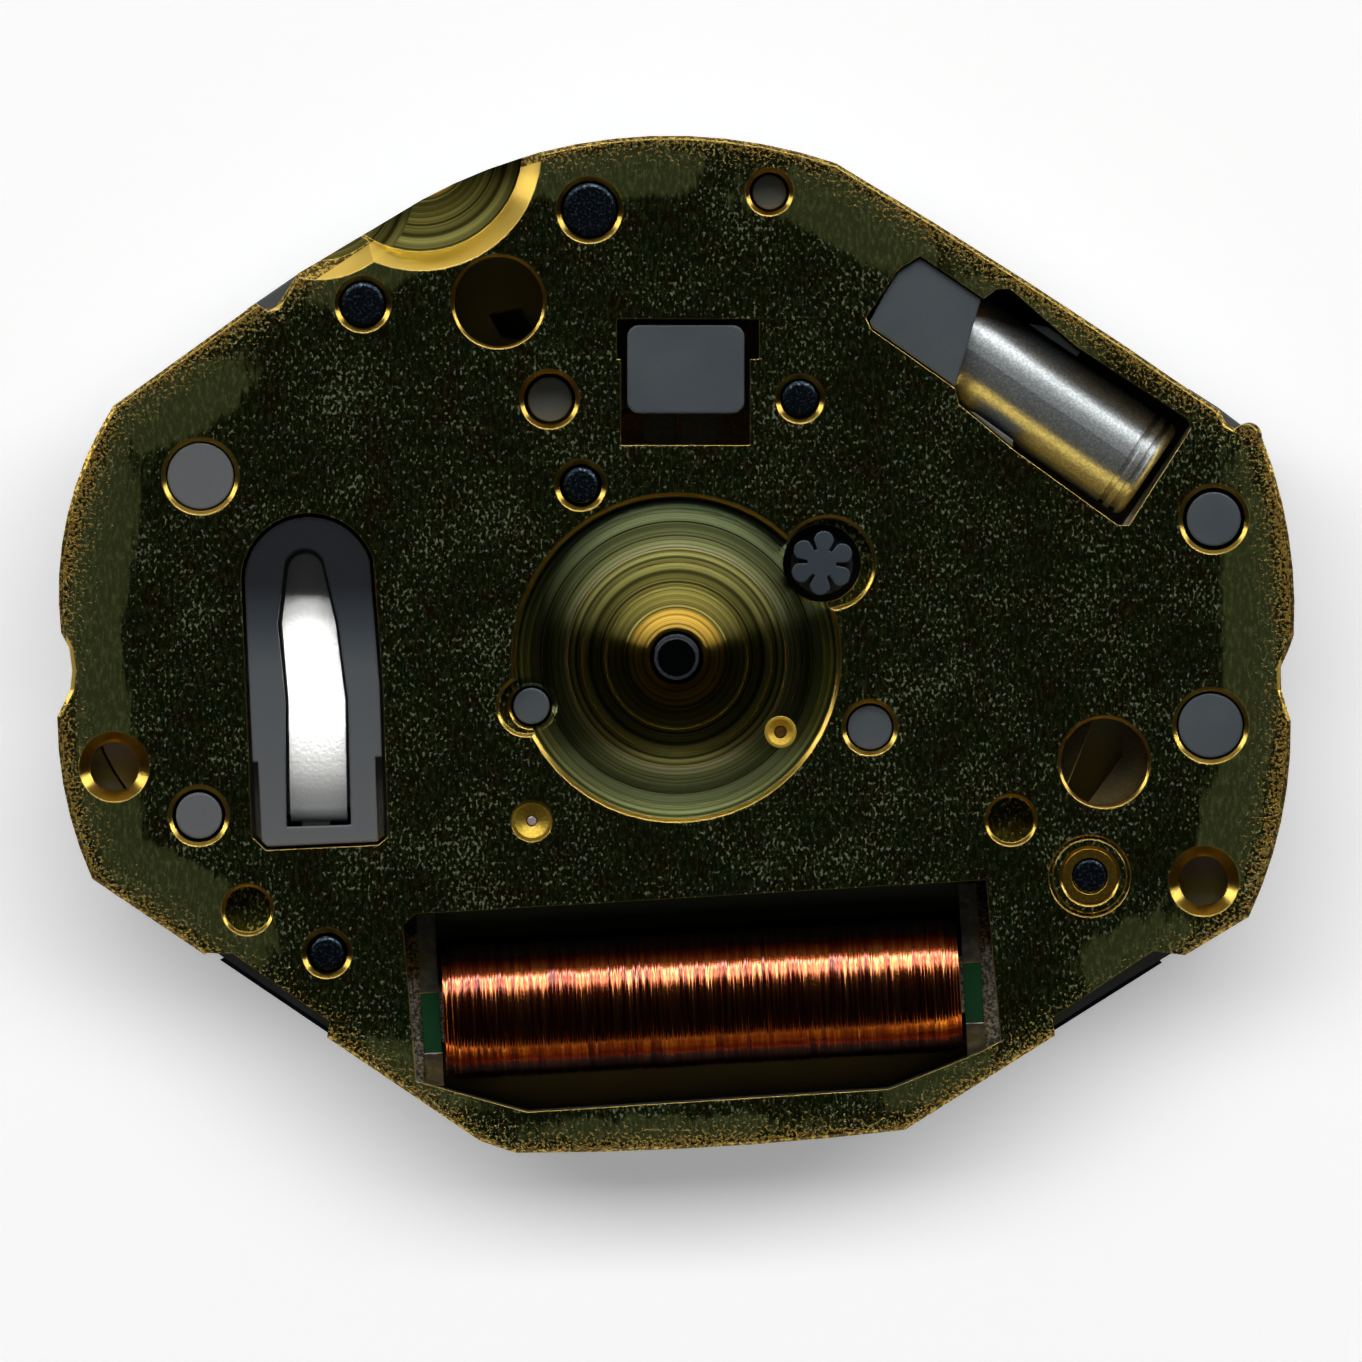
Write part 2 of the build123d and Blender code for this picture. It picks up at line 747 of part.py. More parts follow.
def can_box(across_low, across_high, low, high):
    """A rectangle in plan beside the can's axis: across it and along it from the closed end."""
    points = []
    for across, along in ((across_low, low), (across_high, low), (across_high, high), (across_low, high)):
        points.append(polar(polar(can_end_place, -along, can_tilt), across, can_tilt + 90))
    return polygon(points)


def crystal_shape(points_px):
    """A shape in the crystal's window, whose points beside the leads follow the can's length."""
    longer = can_length - can_length_px * mm_per_px
    points = []
    for place_px in points_px:
        at_leads = place_px[0] < crystal_lead_side_px
        points.append(polar(at(place_px), -longer if at_leads else 0, can_tilt))
    return polygon(points)


def lead_places():
    """Where the crystal's two leads turn down to the circuit."""
    middle = polar(can_end_place, -(can_length + lead_run), can_tilt)
    return [polar(middle, side * lead_spacing / 2, can_tilt + 90) for side in (-1, 1)]


def lead(place, radius, bottom):
    """One crystal lead: out of the header along the can's axis, round the corner and down."""
    inner = polar(place, lead_run + header_thickness, can_tilt)
    path = Plane(origin=(*inner, can_height), z_dir=(*polar((0, 0), -1, can_tilt), 0))
    run = path * extrude(Circle(radius), amount=lead_run + header_thickness)
    knee = Pos(*place, can_height) * Sphere(radius)
    return run + knee + rod(place, radius, can_height, bottom)


def middle_frame():
    """Plastic frame between plate and circuit, with its posts in the plate's holes."""
    body = slab(inset_outline(frame_inset), frame_top, frame_bottom)
    body += slab(polygon_px(frame_ledge_right_px), frame_top, frame_bottom)
    body += slab(polygon_px(frame_ledge_left_px), frame_top, frame_bottom)
    cuts = [
        rod(cell_place, cell_diameter / 2 + well_play, frame_top + overrun, frame_bottom - overrun),
        rod(cell_place, insulator_seat_radius, frame_top + overrun, frame_top - insulator_thickness),
        rod(
            minute_place, tip_radius(minute_teeth, motion_module) + wheel_play, frame_top + overrun,
            works_floor
        ),
        rod(centre, tip_radius(cannon_leaves, motion_module) + wheel_play, frame_top + overrun, works_floor),
        rod(
            setting_place, tip_radius(setting_teeth, motion_module) + wheel_play, frame_top + overrun,
            works_floor
        ),
        rod(centre, tip_radius(centre_teeth, centre_module) + wheel_play, train_top, frame_bottom - overrun),
        rod(centre, post_radius + part_play, frame_top + overrun, frame_bottom - overrun),
        rod(
            third_place, tip_radius(third_teeth, third_module) + wheel_play, third_well_top,
            frame_bottom - overrun
        ),
        rod(
            third_place, tip_radius(third_leaves, centre_module) + wheel_play, frame_top + overrun,
            third_well_top
        ),
        rod(
            intermediate_place,
            tip_radius(intermediate_teeth, intermediate_module) + wheel_play,
            intermediate_well_top,
            frame_bottom - overrun,
        ),
        rod(intermediate_place, train_arbor_radius + part_play, frame_top + overrun, frame_bottom - overrun),
        rod(rotor_place, magnet_radius + wheel_play, magnet_top + wheel_play, frame_bottom - overrun),
        rod(rotor_place, train_arbor_radius + part_play, frame_top + overrun, frame_bottom - overrun),
        slab(stator_room(), stator_top, frame_bottom - overrun),
        slab(coil_channel(), frame_top + overrun, channel_floor),
        slab(coil_window(), frame_top + overrun, channel_shelf),
        slab(polygon(keyless_points), frame_top + overrun, keyless_floor),
        rod(at(lever_pin_px), lever_hub_radius + part_play, frame_top + overrun, lever_bottom - lever_gap),
        rod(spring_screw_place, screw_shank_radius, frame_top + overrun, keyless_floor - spring_screw_depth),
        slab(clutch_slot(), frame_top + overrun, clutch_slot_bottom),
        slab(stem_channel(), frame_top + overrun, stem_height - stem_bore_radius - part_play),
        stem_hole(stem_bore_radius, stem_bearing_start - part_play),
        stem_hole(pilot_bore_radius, pilot_bore_start),
        slab(
            can_box(-can_room_low, can_room_high, -can_end_play, can_length + can_room_end),
            frame_top + overrun, can_floor
        ),
        slab(top_moat(), frame_top + overrun, top_moat_floor),
        slab(top_well(), frame_top + overrun, frame_bottom - overrun),
        rod(at(view_hole_place_px), view_hole_radius + part_play, frame_top + overrun, view_floor_height),
        slab(polygon_px(view_opening_px), view_floor_height + overrun, frame_bottom - overrun),
        rod(
            at(pierced_stud_px), pierced_hole_radius + part_play, frame_top + overrun,
            frame_top - pierced_stud_length
        ),
        slab(minus_tail_room(), frame_top + overrun, frame_bottom - overrun),
        slab(contact_room(), contact_top + part_play, frame_bottom - overrun),
        rod(at(lever_pin_px), lever_pin_radius, frame_top + overrun, lever_pin_bottom),
    ]
    for place_px, radius in zip(frame_pillar_places_px, frame_pillar_radii):
        cuts.append(rod(at(place_px), radius + pillar_play, frame_top + overrun, frame_bottom - overrun))
    for place_px in bridge_pillar_places_px:
        cuts.append(
            rod(at(place_px), bridge_pillar_radius + pillar_play, frame_top + overrun, frame_bottom - overrun)
        )
    for place in cover_tube_places:
        cuts.append(rod(place, cover_tube_radius, cover_tube_top, frame_bottom - overrun))
    for place in coil_screw_places():
        cuts.append(rod(place, coil_tube_radius + part_play, frame_top + overrun, stator_top))
    for side in (-1, 1):
        cuts.append(slab(core_pad(side, part_play), frame_top + overrun, stator_top))
        cuts.append(slab(end_board(side, part_play), frame_top + overrun, coil_core_bottom))
    body -= cuts
    body -= [lead(place, lead_radius + part_play, frame_bottom - overrun) for place in lead_places()]
    for place_px, radius, drop in zip(frame_post_places_px, frame_post_radii, frame_post_drops):
        body += rod(at(place_px), radius, -drop, frame_top)
    body += rod(at(recess_post_px), recess_post_radius, -recess_post_pocket_depth, frame_top)
    body += rod(minute_place, minute_post_radius, minute_post_top, works_floor)
    body += rod(setting_place, setting_post_radius, frame_top, works_floor)
    block = Pos(*at(top_block_px)) * RectangleRounded(
        *[s * mm_per_px for s in top_block_size_px], top_block_corner_px * mm_per_px
    )
    body += slab(block, -block_drop, top_moat_floor)
    return body + crystal_holders()


def crystal_holders():
    """The bar over the crystal's leads, its leg, the tab and the catch, all in the plate's window."""
    room = offset(crystal_shape(crystal_window_px), amount=-part_play / 2)
    holders = slab(crystal_shape(crystal_bridge_px) & room, -block_drop, can_top + part_play)
    holders += slab(crystal_shape(crystal_leg_px) & room, -block_drop, can_floor)
    holders += slab(polygon_px(crystal_tab_px) & room, crystal_tab_top, can_floor)
    tab_root = can_box(-can_room_low, crystal_tab_inner - can_diameter / 2, *crystal_tab_along)
    holders += slab(tab_root, frame_top, can_floor)
    holders += slab(polygon_px(crystal_catch_px) & room, crystal_catch_top, can_floor)
    holders -= can_rod(can_diameter / 2 + part_play, -can_end_play, can_length + part_play)
    return holders - [lead(place, lead_radius + part_play, can_floor - overrun) for place in lead_places()]


def stator_room():
    """The room round the stator, open to the back."""
    return stator_profile(part_play, with_holes=False)


def coil_channel():
    """The coil window's outline, up to the inner wall beside the stator."""
    return coil_window() & coil_box(-coil_length, coil_length, -coil_length, channel_high)


def core_pad(side, play=0):
    """The wide end of the coil core, which lies on the stator's end."""
    corners = [
        (core_pad_start - play, core_pad_high + play),
        (core_pad_end + play, core_pad_high + play),
        (core_pad_end + play, core_pad_step - play),
        (core_pad_mouth, core_pad_low - play),
        (core_pad_start - play, core_pad_low - play),
    ]
    return polygon([coil_at(side * along, across) for along, across in corners])


def end_board(side, play=0):
    """The small circuit strip across one end of the coil."""
    low = coil_length / 2 + part_play - play
    return coil_box(
        *sorted((side * low, side * (low + end_board_width + 2 * play))), end_board_low - play,
        end_board_high + play
    )


def coil_screw_places():
    return [coil_at(side * coil_screw_along, coil_screw_across) for side in (-1, 1)]


def stator_profile(play=0, with_holes=True):
    """Soft-iron sheet: two pads under the core's ends, the arms, and the lobe round the rotor."""
    shape = core_pad(-1, play) + core_pad(1, play)
    shape += coil_box(
        -core_pad_end - play, core_pad_end + play, stator_bar_low - play, stator_bar_high + play
    )
    for side in (-1, 1):
        arm = sorted((side * (core_pad_start - play), side * (core_pad_end + play)))
        shape += coil_box(*arm, 0, stator_bar_high + play)
    shape += disc(rotor_place, stator_lobe_radius + play)
    lobe_foot = Pos(*rotor_place) * Rot(0, 0, coil_tilt) * Pos(0, -stator_lobe_radius / 2) * Rectangle(
        2 * (stator_lobe_radius + play), stator_lobe_radius
    )
    shape += lobe_foot
    shape += disc(at(frame_pillar_places_px[2]), frame_pillar_radii[2] + stator_ear_width + play)
    ear_root = [
        coil_at(-core_pad_start, 0), coil_at(-core_pad_start, core_pad_high), at(frame_pillar_places_px[2])
    ]
    shape += polygon(ear_root)
    shape -= disc(cell_place, cell_diameter / 2 + battery_opening_play - play)
    if with_holes:
        shape -= disc(rotor_place, stator_bore_radius)
        shape -= disc(at(frame_pillar_places_px[2]), frame_pillar_radii[2] + pillar_play)
        shape -= [disc(place, stator_screw_shank) for place in coil_screw_places()]
    return shape


def clutch_slot():
    low, high = clutch_inner_end - clutch_travel - part_play, clutch_outer_end + part_play
    return polygon([(low, -clutch_slot_half_width), (high, -clutch_slot_half_width),
                    (high, clutch_slot_half_width), (low, clutch_slot_half_width)])


def stem_channel():
    """The open channel between clutch wheel and stem bearing, where the lever's stud reaches the stem."""
    half_width = stem_bore_radius + part_play
    low, high = clutch_outer_end, stem_bearing_start
    return polygon([(low, -half_width), (high, -half_width), (high, half_width), (low, half_width)])


def stem_hole(radius, start):
    """A round hole for the winding stem, from a place on the stem's axis out to the right."""
    return Plane(
        origin=(start, 0, stem_height), z_dir=(1, 0, 0)
    ) * extrude(Circle(radius), amount=plate_length)


def box_px(low_px, high_px):
    x0, y1 = at(low_px)
    x1, y0 = at(high_px)
    return polygon([(x0, y0), (x1, y0), (x1, y1), (x0, y1)])


def top_moat():
    return box_px(top_moat_low_px, top_moat_high_px)


def top_well():
    return box_px(top_well_low_px, top_well_high_px)


def minus_tail_profile(play=0):
    x, y = at(minus_tail_px)
    return Pos(x, y) * Rectangle(minus_tail_width + 2 * play, strip_thickness + 2 * play)


def minus_tail_room():
    x, y = at(minus_tail_px)
    low = y - strip_thickness / 2 - part_play
    return Pos(x, low + minus_tail_width / 2) * Rectangle(minus_tail_width + 2 * part_play, minus_tail_width)


def ring_sector(inner, outer, middle_angle, sweep):
    """A stretch of a ring round the battery."""
    low, high = middle_angle - sweep / 2, middle_angle + sweep / 2
    edges = [
        ThreePointArc(*[polar(cell_place, outer, a) for a in (low, middle_angle, high)]),
        Line(polar(cell_place, outer, high), polar(cell_place, inner, high)),
        ThreePointArc(*[polar(cell_place, inner, a) for a in (high, middle_angle, low)]),
        Line(polar(cell_place, inner, low), polar(cell_place, outer, low)),
    ]
    return make_face(edges)


def contact_room():
    inner = cell_diameter / 2
    outer = inner + contact_play + contact_thickness + part_play
    return ring_sector(inner, outer, contact_angle, contact_sweep + contact_end_play)


def battery_insulator():
    """Plastic sheet over the battery, with the insert that fills the plate's window."""
    radius = insulator_seat_radius - insulator_seat_play
    sheet = rod(cell_place, radius, frame_top, frame_top - insulator_thickness)
    insert = slab(offset(contact_window(), amount=-part_play), -insulator_drop, frame_top)
    for foot_px in (insulator_foot_left_px, insulator_foot_right_px):
        insert -= slab(polygon_px(foot_px), overrun, -insulator_foot_drop)
    sheet += insert
    for place_px, radius in zip(insulator_post_places_px, insulator_post_radii):
        sheet += rod(at(place_px), radius, -insulator_drop, frame_top)
    points = [at(p) for p in strip_slot_px]
    slot = make_face([Polyline(*points), ThreePointArc(points[-1], at(strip_slot_top_px), points[0])])
    return sheet - slab(slot, overrun, frame_top - insulator_thickness - overrun)


def minus_contact():
    """Leaf spring on the battery's cap, with its tail down to the circuit."""
    points = [at(p) for p in strip_px]
    plan = make_face([Polyline(*points), ThreePointArc(points[-1], at(strip_top_px), points[0])])
    rise = [(at((0, y_px))[1], z) for y_px, z in zip(strip_rise_px, strip_rise_heights)]
    fall = [(y, z - strip_thickness) for y, z in reversed(rise)]
    side = make_face([Spline(*rise), Line(rise[-1], fall[0]), Spline(*fall), Line(fall[-1], rise[0])])
    band = extrude(Plane.YZ.offset(at(strip_top_px)[0] - plate_thickness) * side, amount=2 * plate_thickness)
    leaf = band & slab(plan, overrun, back)
    x, y = at(minus_tail_px)
    foot_top = cell_top + strip_thickness
    foot_end = rise[-1][0]
    foot = Pos(x, (foot_end + y - strip_thickness / 2) / 2) * Rectangle(
        minus_tail_width, foot_end - y + strip_thickness / 2
    )
    leaf += slab(foot, foot_top, cell_top)
    return leaf + slab(minus_tail_profile(), foot_top, spacer_bottom)


def plus_contact():
    """Spring leaf on the side of the battery, welded under the cover."""
    inner = cell_diameter / 2 + contact_play
    leaf = ring_sector(inner, inner + contact_thickness, contact_angle, contact_sweep)
    foot = ring_sector(inner, inner + contact_foot_width, contact_angle, contact_sweep)
    foot_bottom = cover_bottom - contact_thickness
    return slab(leaf, contact_top, foot_bottom) + slab(foot, cover_bottom, foot_bottom)


def cell_can():
    can = rod(cell_place, cell_diameter / 2, cell_top - cell_shoulder, cell_bottom)
    can = fillet(can.faces().sort_by(Axis.Z)[0].outer_wire().edges(), cell_corner)
    can = chamfer(can.faces().sort_by(Axis.Z)[-1].outer_wire().edges(), cell_rim)
    return can - rod(cell_place, cell_cap_diameter / 2 + gasket_width, overrun, cell_floor)


def cell_cap():
    cap = rod(cell_place, cell_cap_diameter / 2, cell_top, cell_floor)
    return chamfer(cap.faces().sort_by(Axis.Z)[-1].outer_wire().edges(), cell_rim)


def cell_gasket():
    ring = disc(cell_place, cell_cap_diameter / 2 + gasket_width) - disc(cell_place, cell_cap_diameter / 2)
    return slab(ring, cell_top - cell_shoulder + gasket_rise, cell_floor)


def coil_winding():
    """Enamelled copper wire on the insulated core."""
    start = coil_at(-coil_length / 2, 0)
    turn = radians(coil_tilt)
    axis = Plane(origin=(*start, coil_height), x_dir=(0, 0, 1), z_dir=(cos(turn), sin(turn), 0))
    bore = Rectangle(coil_core_thickness + 2 * coil_tape, coil_core_width + 2 * coil_tape)
    return axis * extrude(Circle(coil_diameter / 2) - bore, amount=coil_length)


def coil_core_tape():
    """Insulating tape round the core, under the wire."""
    start = coil_at(-coil_length / 2, 0)
    turn = radians(coil_tilt)
    axis = Plane(origin=(*start, coil_height), x_dir=(0, 0, 1), z_dir=(cos(turn), sin(turn), 0))
    outside = Rectangle(coil_core_thickness + 2 * coil_tape, coil_core_width + 2 * coil_tape)
    return axis * extrude(outside - Rectangle(coil_core_thickness, coil_core_width), amount=coil_length)


def coil_core():
    shape = core_pad(-1) + core_pad(1)
    shape += coil_box(-core_pad_start, core_pad_start, -coil_core_width / 2, coil_core_width / 2)
    shape -= [disc(place, stator_screw_shank) for place in coil_screw_places()]
    return slab(shape, coil_core_top, coil_core_bottom)


def coil_end_boards():
    """Small circuit strips on the core's ends, where the wire's ends are soldered."""
    top = coil_core_top + end_board_thickness
    return [slab(end_board(side), top, coil_core_top) for side in (-1, 1)]


def coil_end_pads():
    """Tinned pads at both ends of each circuit strip."""
    top = coil_core_top + end_board_thickness
    pads = []
    for side in (-1, 1):
        low = coil_length / 2 + part_play
        along = sorted((side * low, side * (low + end_board_width)))
        pads.append(slab(coil_box(*along, end_board_low, end_mask_low), top + end_pad_thickness, top))
        pads.append(slab(coil_box(*along, end_mask_high, end_board_high), top + end_pad_thickness, top))
    return pads


def stator():
    return slab(stator_profile(), stator_top, stator_bottom)


def coil_tubes():
    """Threaded tubes between the plate and the core's ends."""
    ring = Circle(coil_tube_radius) - Circle(stator_screw_shank)
    return [slab(Pos(*place) * ring, frame_top, coil_core_top) for place in coil_screw_places()]


def screw(place, head_radius, head_top, head_bottom, shank_radius, shank_top, angle):
    """A slotted screw that is driven from the back."""
    head = rod(place, head_radius, head_top, head_bottom)
    head = chamfer(head.faces().sort_by(Axis.Z)[0].outer_wire().edges(), screw_edge)
    slot = Pos(*place) * Rot(0, 0, angle) * Rectangle(3 * head_radius, screw_slot_width)
    head -= slab(slot, head_bottom + screw_slot_depth, head_bottom - overrun)
    return head + rod(place, shank_radius, shank_top, head_top)


def coil_screws():
    bottom = stator_bottom - stator_screw_head_height
    angles = screw_angles[:2]
    return [
        screw(
            place, stator_screw_head, stator_bottom, bottom, stator_screw_shank, frame_top - part_play,
            angle
        )
        for place, angle in zip(coil_screw_places(), angles)
    ]


def pillar(place, radius, bottom):
    """A steel pin that shows in the dial face, with a thread in its lower end."""
    pin = rod(place, radius, -pillar_drop, bottom)
    pin = chamfer(pin.faces().sort_by(Axis.Z)[-1].outer_wire().edges(), pillar_edge)
    return pin - rod(place, pillar_thread_radius, bottom + pillar_thread_depth, bottom - overrun)


def frame_pillars():
    return [pillar(at(p), r, cover_top) for p, r in zip(frame_pillar_places_px, frame_pillar_radii)]


def bridge_pillars():
    return [pillar(at(p), bridge_pillar_radius, frame_bottom) for p in bridge_pillar_places_px]


def cover_tubes():
    """Threaded tubes set in the frame for the cover's right side."""
    tubes = []
    for place in cover_tube_places:
        tube = rod(place, cover_tube_radius, cover_tube_top, cover_top)
        tubes.append(
            tube - rod(place, pillar_thread_radius, cover_top + pillar_thread_depth, cover_top - overrun)
        )
    return tubes


def cover_screws():
    places = [at(p) for p in frame_pillar_places_px] + cover_tube_places
    shank_top = cover_top + pillar_thread_depth - part_play
    return [
        screw(place, cover_screw_head_radius, cover_bottom, back, screw_shank_radius, shank_top, angle)
        for place, angle in zip(places, screw_angles)
    ]


def bridge_screws():
    bottom = bridge_bottom - bridge_screw_head_height
    shank_top = frame_bottom + pillar_thread_depth - part_play
    return [
        screw(at(p), bridge_screw_head_radius, bridge_bottom, bottom, screw_shank_radius, shank_top, angle)
        for p, angle in zip(bridge_pillar_places_px, screw_angles)
    ]


def bridge_profile(play=0):
    """The train bridge's outline: a smooth hull round its pivots and screws."""
    places = [third_place, intermediate_place, rotor_place] + [at(p) for p in bridge_pillar_places_px]
    hull = make_hull([(Pos(*p) * Circle(bridge_node_radius + play)).edge() for p in places])
    return hull - disc(cell_place, cell_diameter / 2 + battery_opening_play - play)


def train_bridge():
    bridge = slab(bridge_profile(), frame_bottom, bridge_bottom)
    holes = [rod(p, pivot_radius + pivot_play, overrun, back) for p in (third_place, intermediate_place)]
    holes.append(rod(centre, train_arbor_radius + pivot_play, overrun, back))
    holes.append(rod(rotor_place, jewel_radius, overrun, back))
    holes += [rod(at(p), screw_shank_radius, overrun, back) for p in bridge_pillar_places_px]
    holes += [slab(polygon_px(p), overrun, back) for p in bridge_openings_px]
    return bridge - holes


def rotor_jewel():
    """Synthetic ruby bearing for the rotor's lower pivot."""
    ring = Circle(jewel_radius) - Circle(rotor_pivot_radius + pivot_play)
    return slab(Pos(*rotor_place) * ring, frame_bottom, bridge_bottom)


def plate_bush(place, radius, top, bore):
    """A brass bush in the plate, with an oil sink round the pivot."""
    bush = rod(place, radius, top, frame_top)
    bush -= cone(place, radius - bush_sink_rim, bore, top, top - bush_sink_depth)
    return bush - rod(place, bore, overrun, back)


def third_bush():
    return plate_bush(third_place, bush_radius, -recess_depth, pivot_radius + pivot_play)


def rotor_bush():
    return plate_bush(rotor_place, rotor_bush_radius, -rotor_bush_drop, rotor_pivot_radius + pivot_play)


def lever_pin():
    """Steel pivot of the setting lever."""
    pin = rod(at(lever_pin_px), lever_pin_radius, -pillar_drop, lever_pin_bottom)
    return chamfer(pin.faces().sort_by(Axis.Z)[-1].outer_wire().edges(), pillar_edge)


def lever_collar():
    """Brass ring that holds the lever's pivot in the plate."""
    ring = Circle(lever_collar_radius) - Circle(lever_pin_radius)
    return slab(Pos(*at(lever_pin_px)) * ring, -collar_drop, frame_top)


def circuit_spacer():
    """Black plastic sheet between frame and circuit, with the ledges that show at the plate's edge."""
    shape = inset_outline(spacer_inset)
    shape -= disc(cell_place, cell_diameter / 2 + battery_opening_play)
    shape -= back_left_cut()
    shape -= bridge_profile(part_play)
    ledges = polygon_px(spacer_ledge_left_px) + polygon_px(spacer_ledge_right_px)
    sheet = slab(shape, frame_bottom, spacer_bottom) + slab(ledges, frame_bottom, spacer_bottom)
    return sheet - back_holes()


def back_left_cut():
    """The part left of the battery's middle, which the circuit leaves free."""
    reach = plate_length / 2
    return polygon(
        [
            (-2 * reach, -battery_side), (board_cut_x, -battery_side),
            (board_cut_x, battery_side), (-2 * reach, battery_side),
        ]
    )


def back_holes():
    """Holes for the pillars, the tubes and the battery's tail in the sheets at the back."""
    holes = [
        rod(at(p), r + part_play, overrun, back)
        for p, r in zip(frame_pillar_places_px, frame_pillar_radii)
    ]
    holes += [rod(p, cover_tube_radius + part_play, overrun, back) for p in cover_tube_places]
    return holes


def circuit_board():
    shape = inset_outline(board_inset)
    shape -= disc(cell_place, cell_diameter / 2 + battery_opening_play)
    shape -= back_left_cut()
    shape -= bridge_profile(part_play)
    return slab(shape, spacer_bottom, board_bottom) - back_holes()


def ic_chip():
    """The watch's chip under its drop of black resin."""
    drop = Pos(*chip_place) * RectangleRounded(chip_size, chip_size, chip_corner)
    chip = slab(drop, board_bottom, board_bottom - chip_height)
    return chamfer(chip.faces().sort_by(Axis.Z)[0].outer_wire().edges(), chip_height / 2)


def solder_joints():
    places = lead_places() + [at(minus_tail_px)] + [
        coil_at(side * coil_solder_along, coil_solder_across)
        for side in (-1, 1)
    ]
    joints = []
    for place in places:
        joints.append(cone(place, pad_radius, pad_radius / 2, board_bottom, board_bottom - pad_height))
    return joints


def circuit_cover():
    """Steel sheet that holds the circuit and closes the back round the battery."""
    shape = inset_outline(cover_inset)
    shape -= disc(cell_place, cell_diameter / 2 + battery_opening_play)
    shape -= back_left_cut()
    window = chip_size + 2 * chip_window_play
    shape -= Pos(*chip_place) * RectangleRounded(window, window, chip_corner)
    cover = slab(shape, cover_top, cover_bottom)
    places = [at(p) for p in frame_pillar_places_px] + cover_tube_places
    return cover - [rod(p, screw_shank_radius, overrun, back) for p in places]


def crystal_can():
    can = can_rod(can_diameter / 2, 0, can_length)
    end = can.faces().sort_by(Axis.X)[-1].outer_wire().edges()
    can = fillet(end, can_corner)
    can -= can_rod(can_diameter / 2 - can_wall, can_wall, can_length + overrun)
    ring = Circle(can_diameter) - Circle(can_diameter / 2 - can_groove_depth)
    for from_end in can_grooves_from_end:
        can -= along_can(Pos(0, 0, from_end) * extrude(ring, amount=can_groove_width))
    return can


def crystal_header():
    header = can_rod(can_diameter / 2 - can_wall, can_length - header_thickness, can_length)
    return header - [lead(place, lead_radius, can_floor) for place in lead_places()]


def crystal_leads():
    return [lead(place, lead_radius, board_bottom) for place in lead_places()]


def crystal_fork():
    """The quartz tuning fork inside the can."""
    top = can_length - header_thickness - fork_end_play
    low = top - fork_length
    blank = Rectangle(fork_thickness, fork_width)
    slot = Rectangle(2 * fork_thickness, fork_slot_width)
    fork = Pos(0, 0, low) * extrude(blank, amount=fork_length)
    fork -= Pos(0, 0, low - overrun) * extrude(slot, amount=fork_length * fork_slot_share + overrun)
    tails = [
        Pos(0, side * lead_spacing / 2, top - fork_end_play) * extrude(
            Circle(fork_tail_radius), amount=2 * fork_end_play
        )
        for side in (-1, 1)
    ]
    return along_can(fork + tails)


def crossings(teeth, module, hub_radius):
    """Round holes between the spokes of a wheel."""
    rim = module * (teeth / 2 - dedendum_share) - rim_width
    radius = (rim - hub_radius) / 2
    middle = (rim + hub_radius) / 2
    return [
        disc(polar((0, 0), middle, crossing_angle * i), radius * crossing_share)
        for i in range(crossing_count)
    ]


def wheel(place, teeth, module, phase, bore, hub_radius, top):
    """A brass train wheel with crossings."""
    profile = gear(teeth, module, phase) - Circle(bore) - crossings(teeth, module, hub_radius)
    return slab(Pos(*place) * profile, top, top - wheel_thickness)


def centre_phase():
    return direction(centre, third_place)


def centre_wheel():
    return wheel(
        centre, centre_teeth, centre_module, centre_phase(), arbor_radius, centre_hub_radius,
        centre_wheel_top
    )


def centre_arbor():
    """Steel arbor that carries the centre wheel and drives the cannon pinion by friction."""
    upper = rod(centre, arbor_radius, arbor_rise, frame_bottom + arbor_shoulder)
    lower = rod(centre, train_arbor_radius, frame_bottom + arbor_shoulder, bridge_bottom)
    return upper + lower


def cannon_phase():
    return mesh_phase(minute_phase(), minute_teeth, minute_place, centre, cannon_leaves)


def cannon_pinion():
    """Cannon pinion with the solid post for the minute hand."""
    post = rod(centre, hand_seat_radius, post_height, motion_top)
    post = chamfer(post.faces().sort_by(Axis.Z)[-1].outer_wire().edges(), post_chamfer)
    post += cone(centre, post_radius, post_foot_radius, -hand_seat_drop, motion_top)
    leaves = slab(gear(cannon_leaves, motion_module, cannon_phase()), motion_top, motion_bottom)
    sleeve = rod(centre, post_radius, motion_bottom, centre_wheel_top + part_play)
    return post + leaves + sleeve - rod(centre, arbor_radius, arbor_rise, back)


def third_wheel():
    phase = direction(third_place, intermediate_place)
    return wheel(
        third_place, third_teeth, third_module, phase, train_arbor_radius, third_hub_radius, third_wheel_top
    )


def third_pinion():
    """Third pinion with its arbor and pivots."""
    phase = mesh_phase(centre_phase(), centre_teeth, centre, third_place, third_leaves)
    leaves = slab(
        Pos(*third_place) * gear(third_leaves, centre_module, phase), third_pinion_top, third_pinion_bottom
    )
    arbor = rod(third_place, train_arbor_radius, frame_top - pivot_shoulder, frame_bottom + pivot_shoulder)
    return leaves + arbor + rod(
        third_place, pivot_radius, frame_top + plate_pivot_reach, frame_bottom - bridge_pivot_reach
    )


def intermediate_wheel():
    phase = direction(intermediate_place, rotor_place)
    return wheel(
        intermediate_place, intermediate_teeth, intermediate_module, phase,
        train_arbor_radius, third_hub_radius, intermediate_wheel_top,
    )


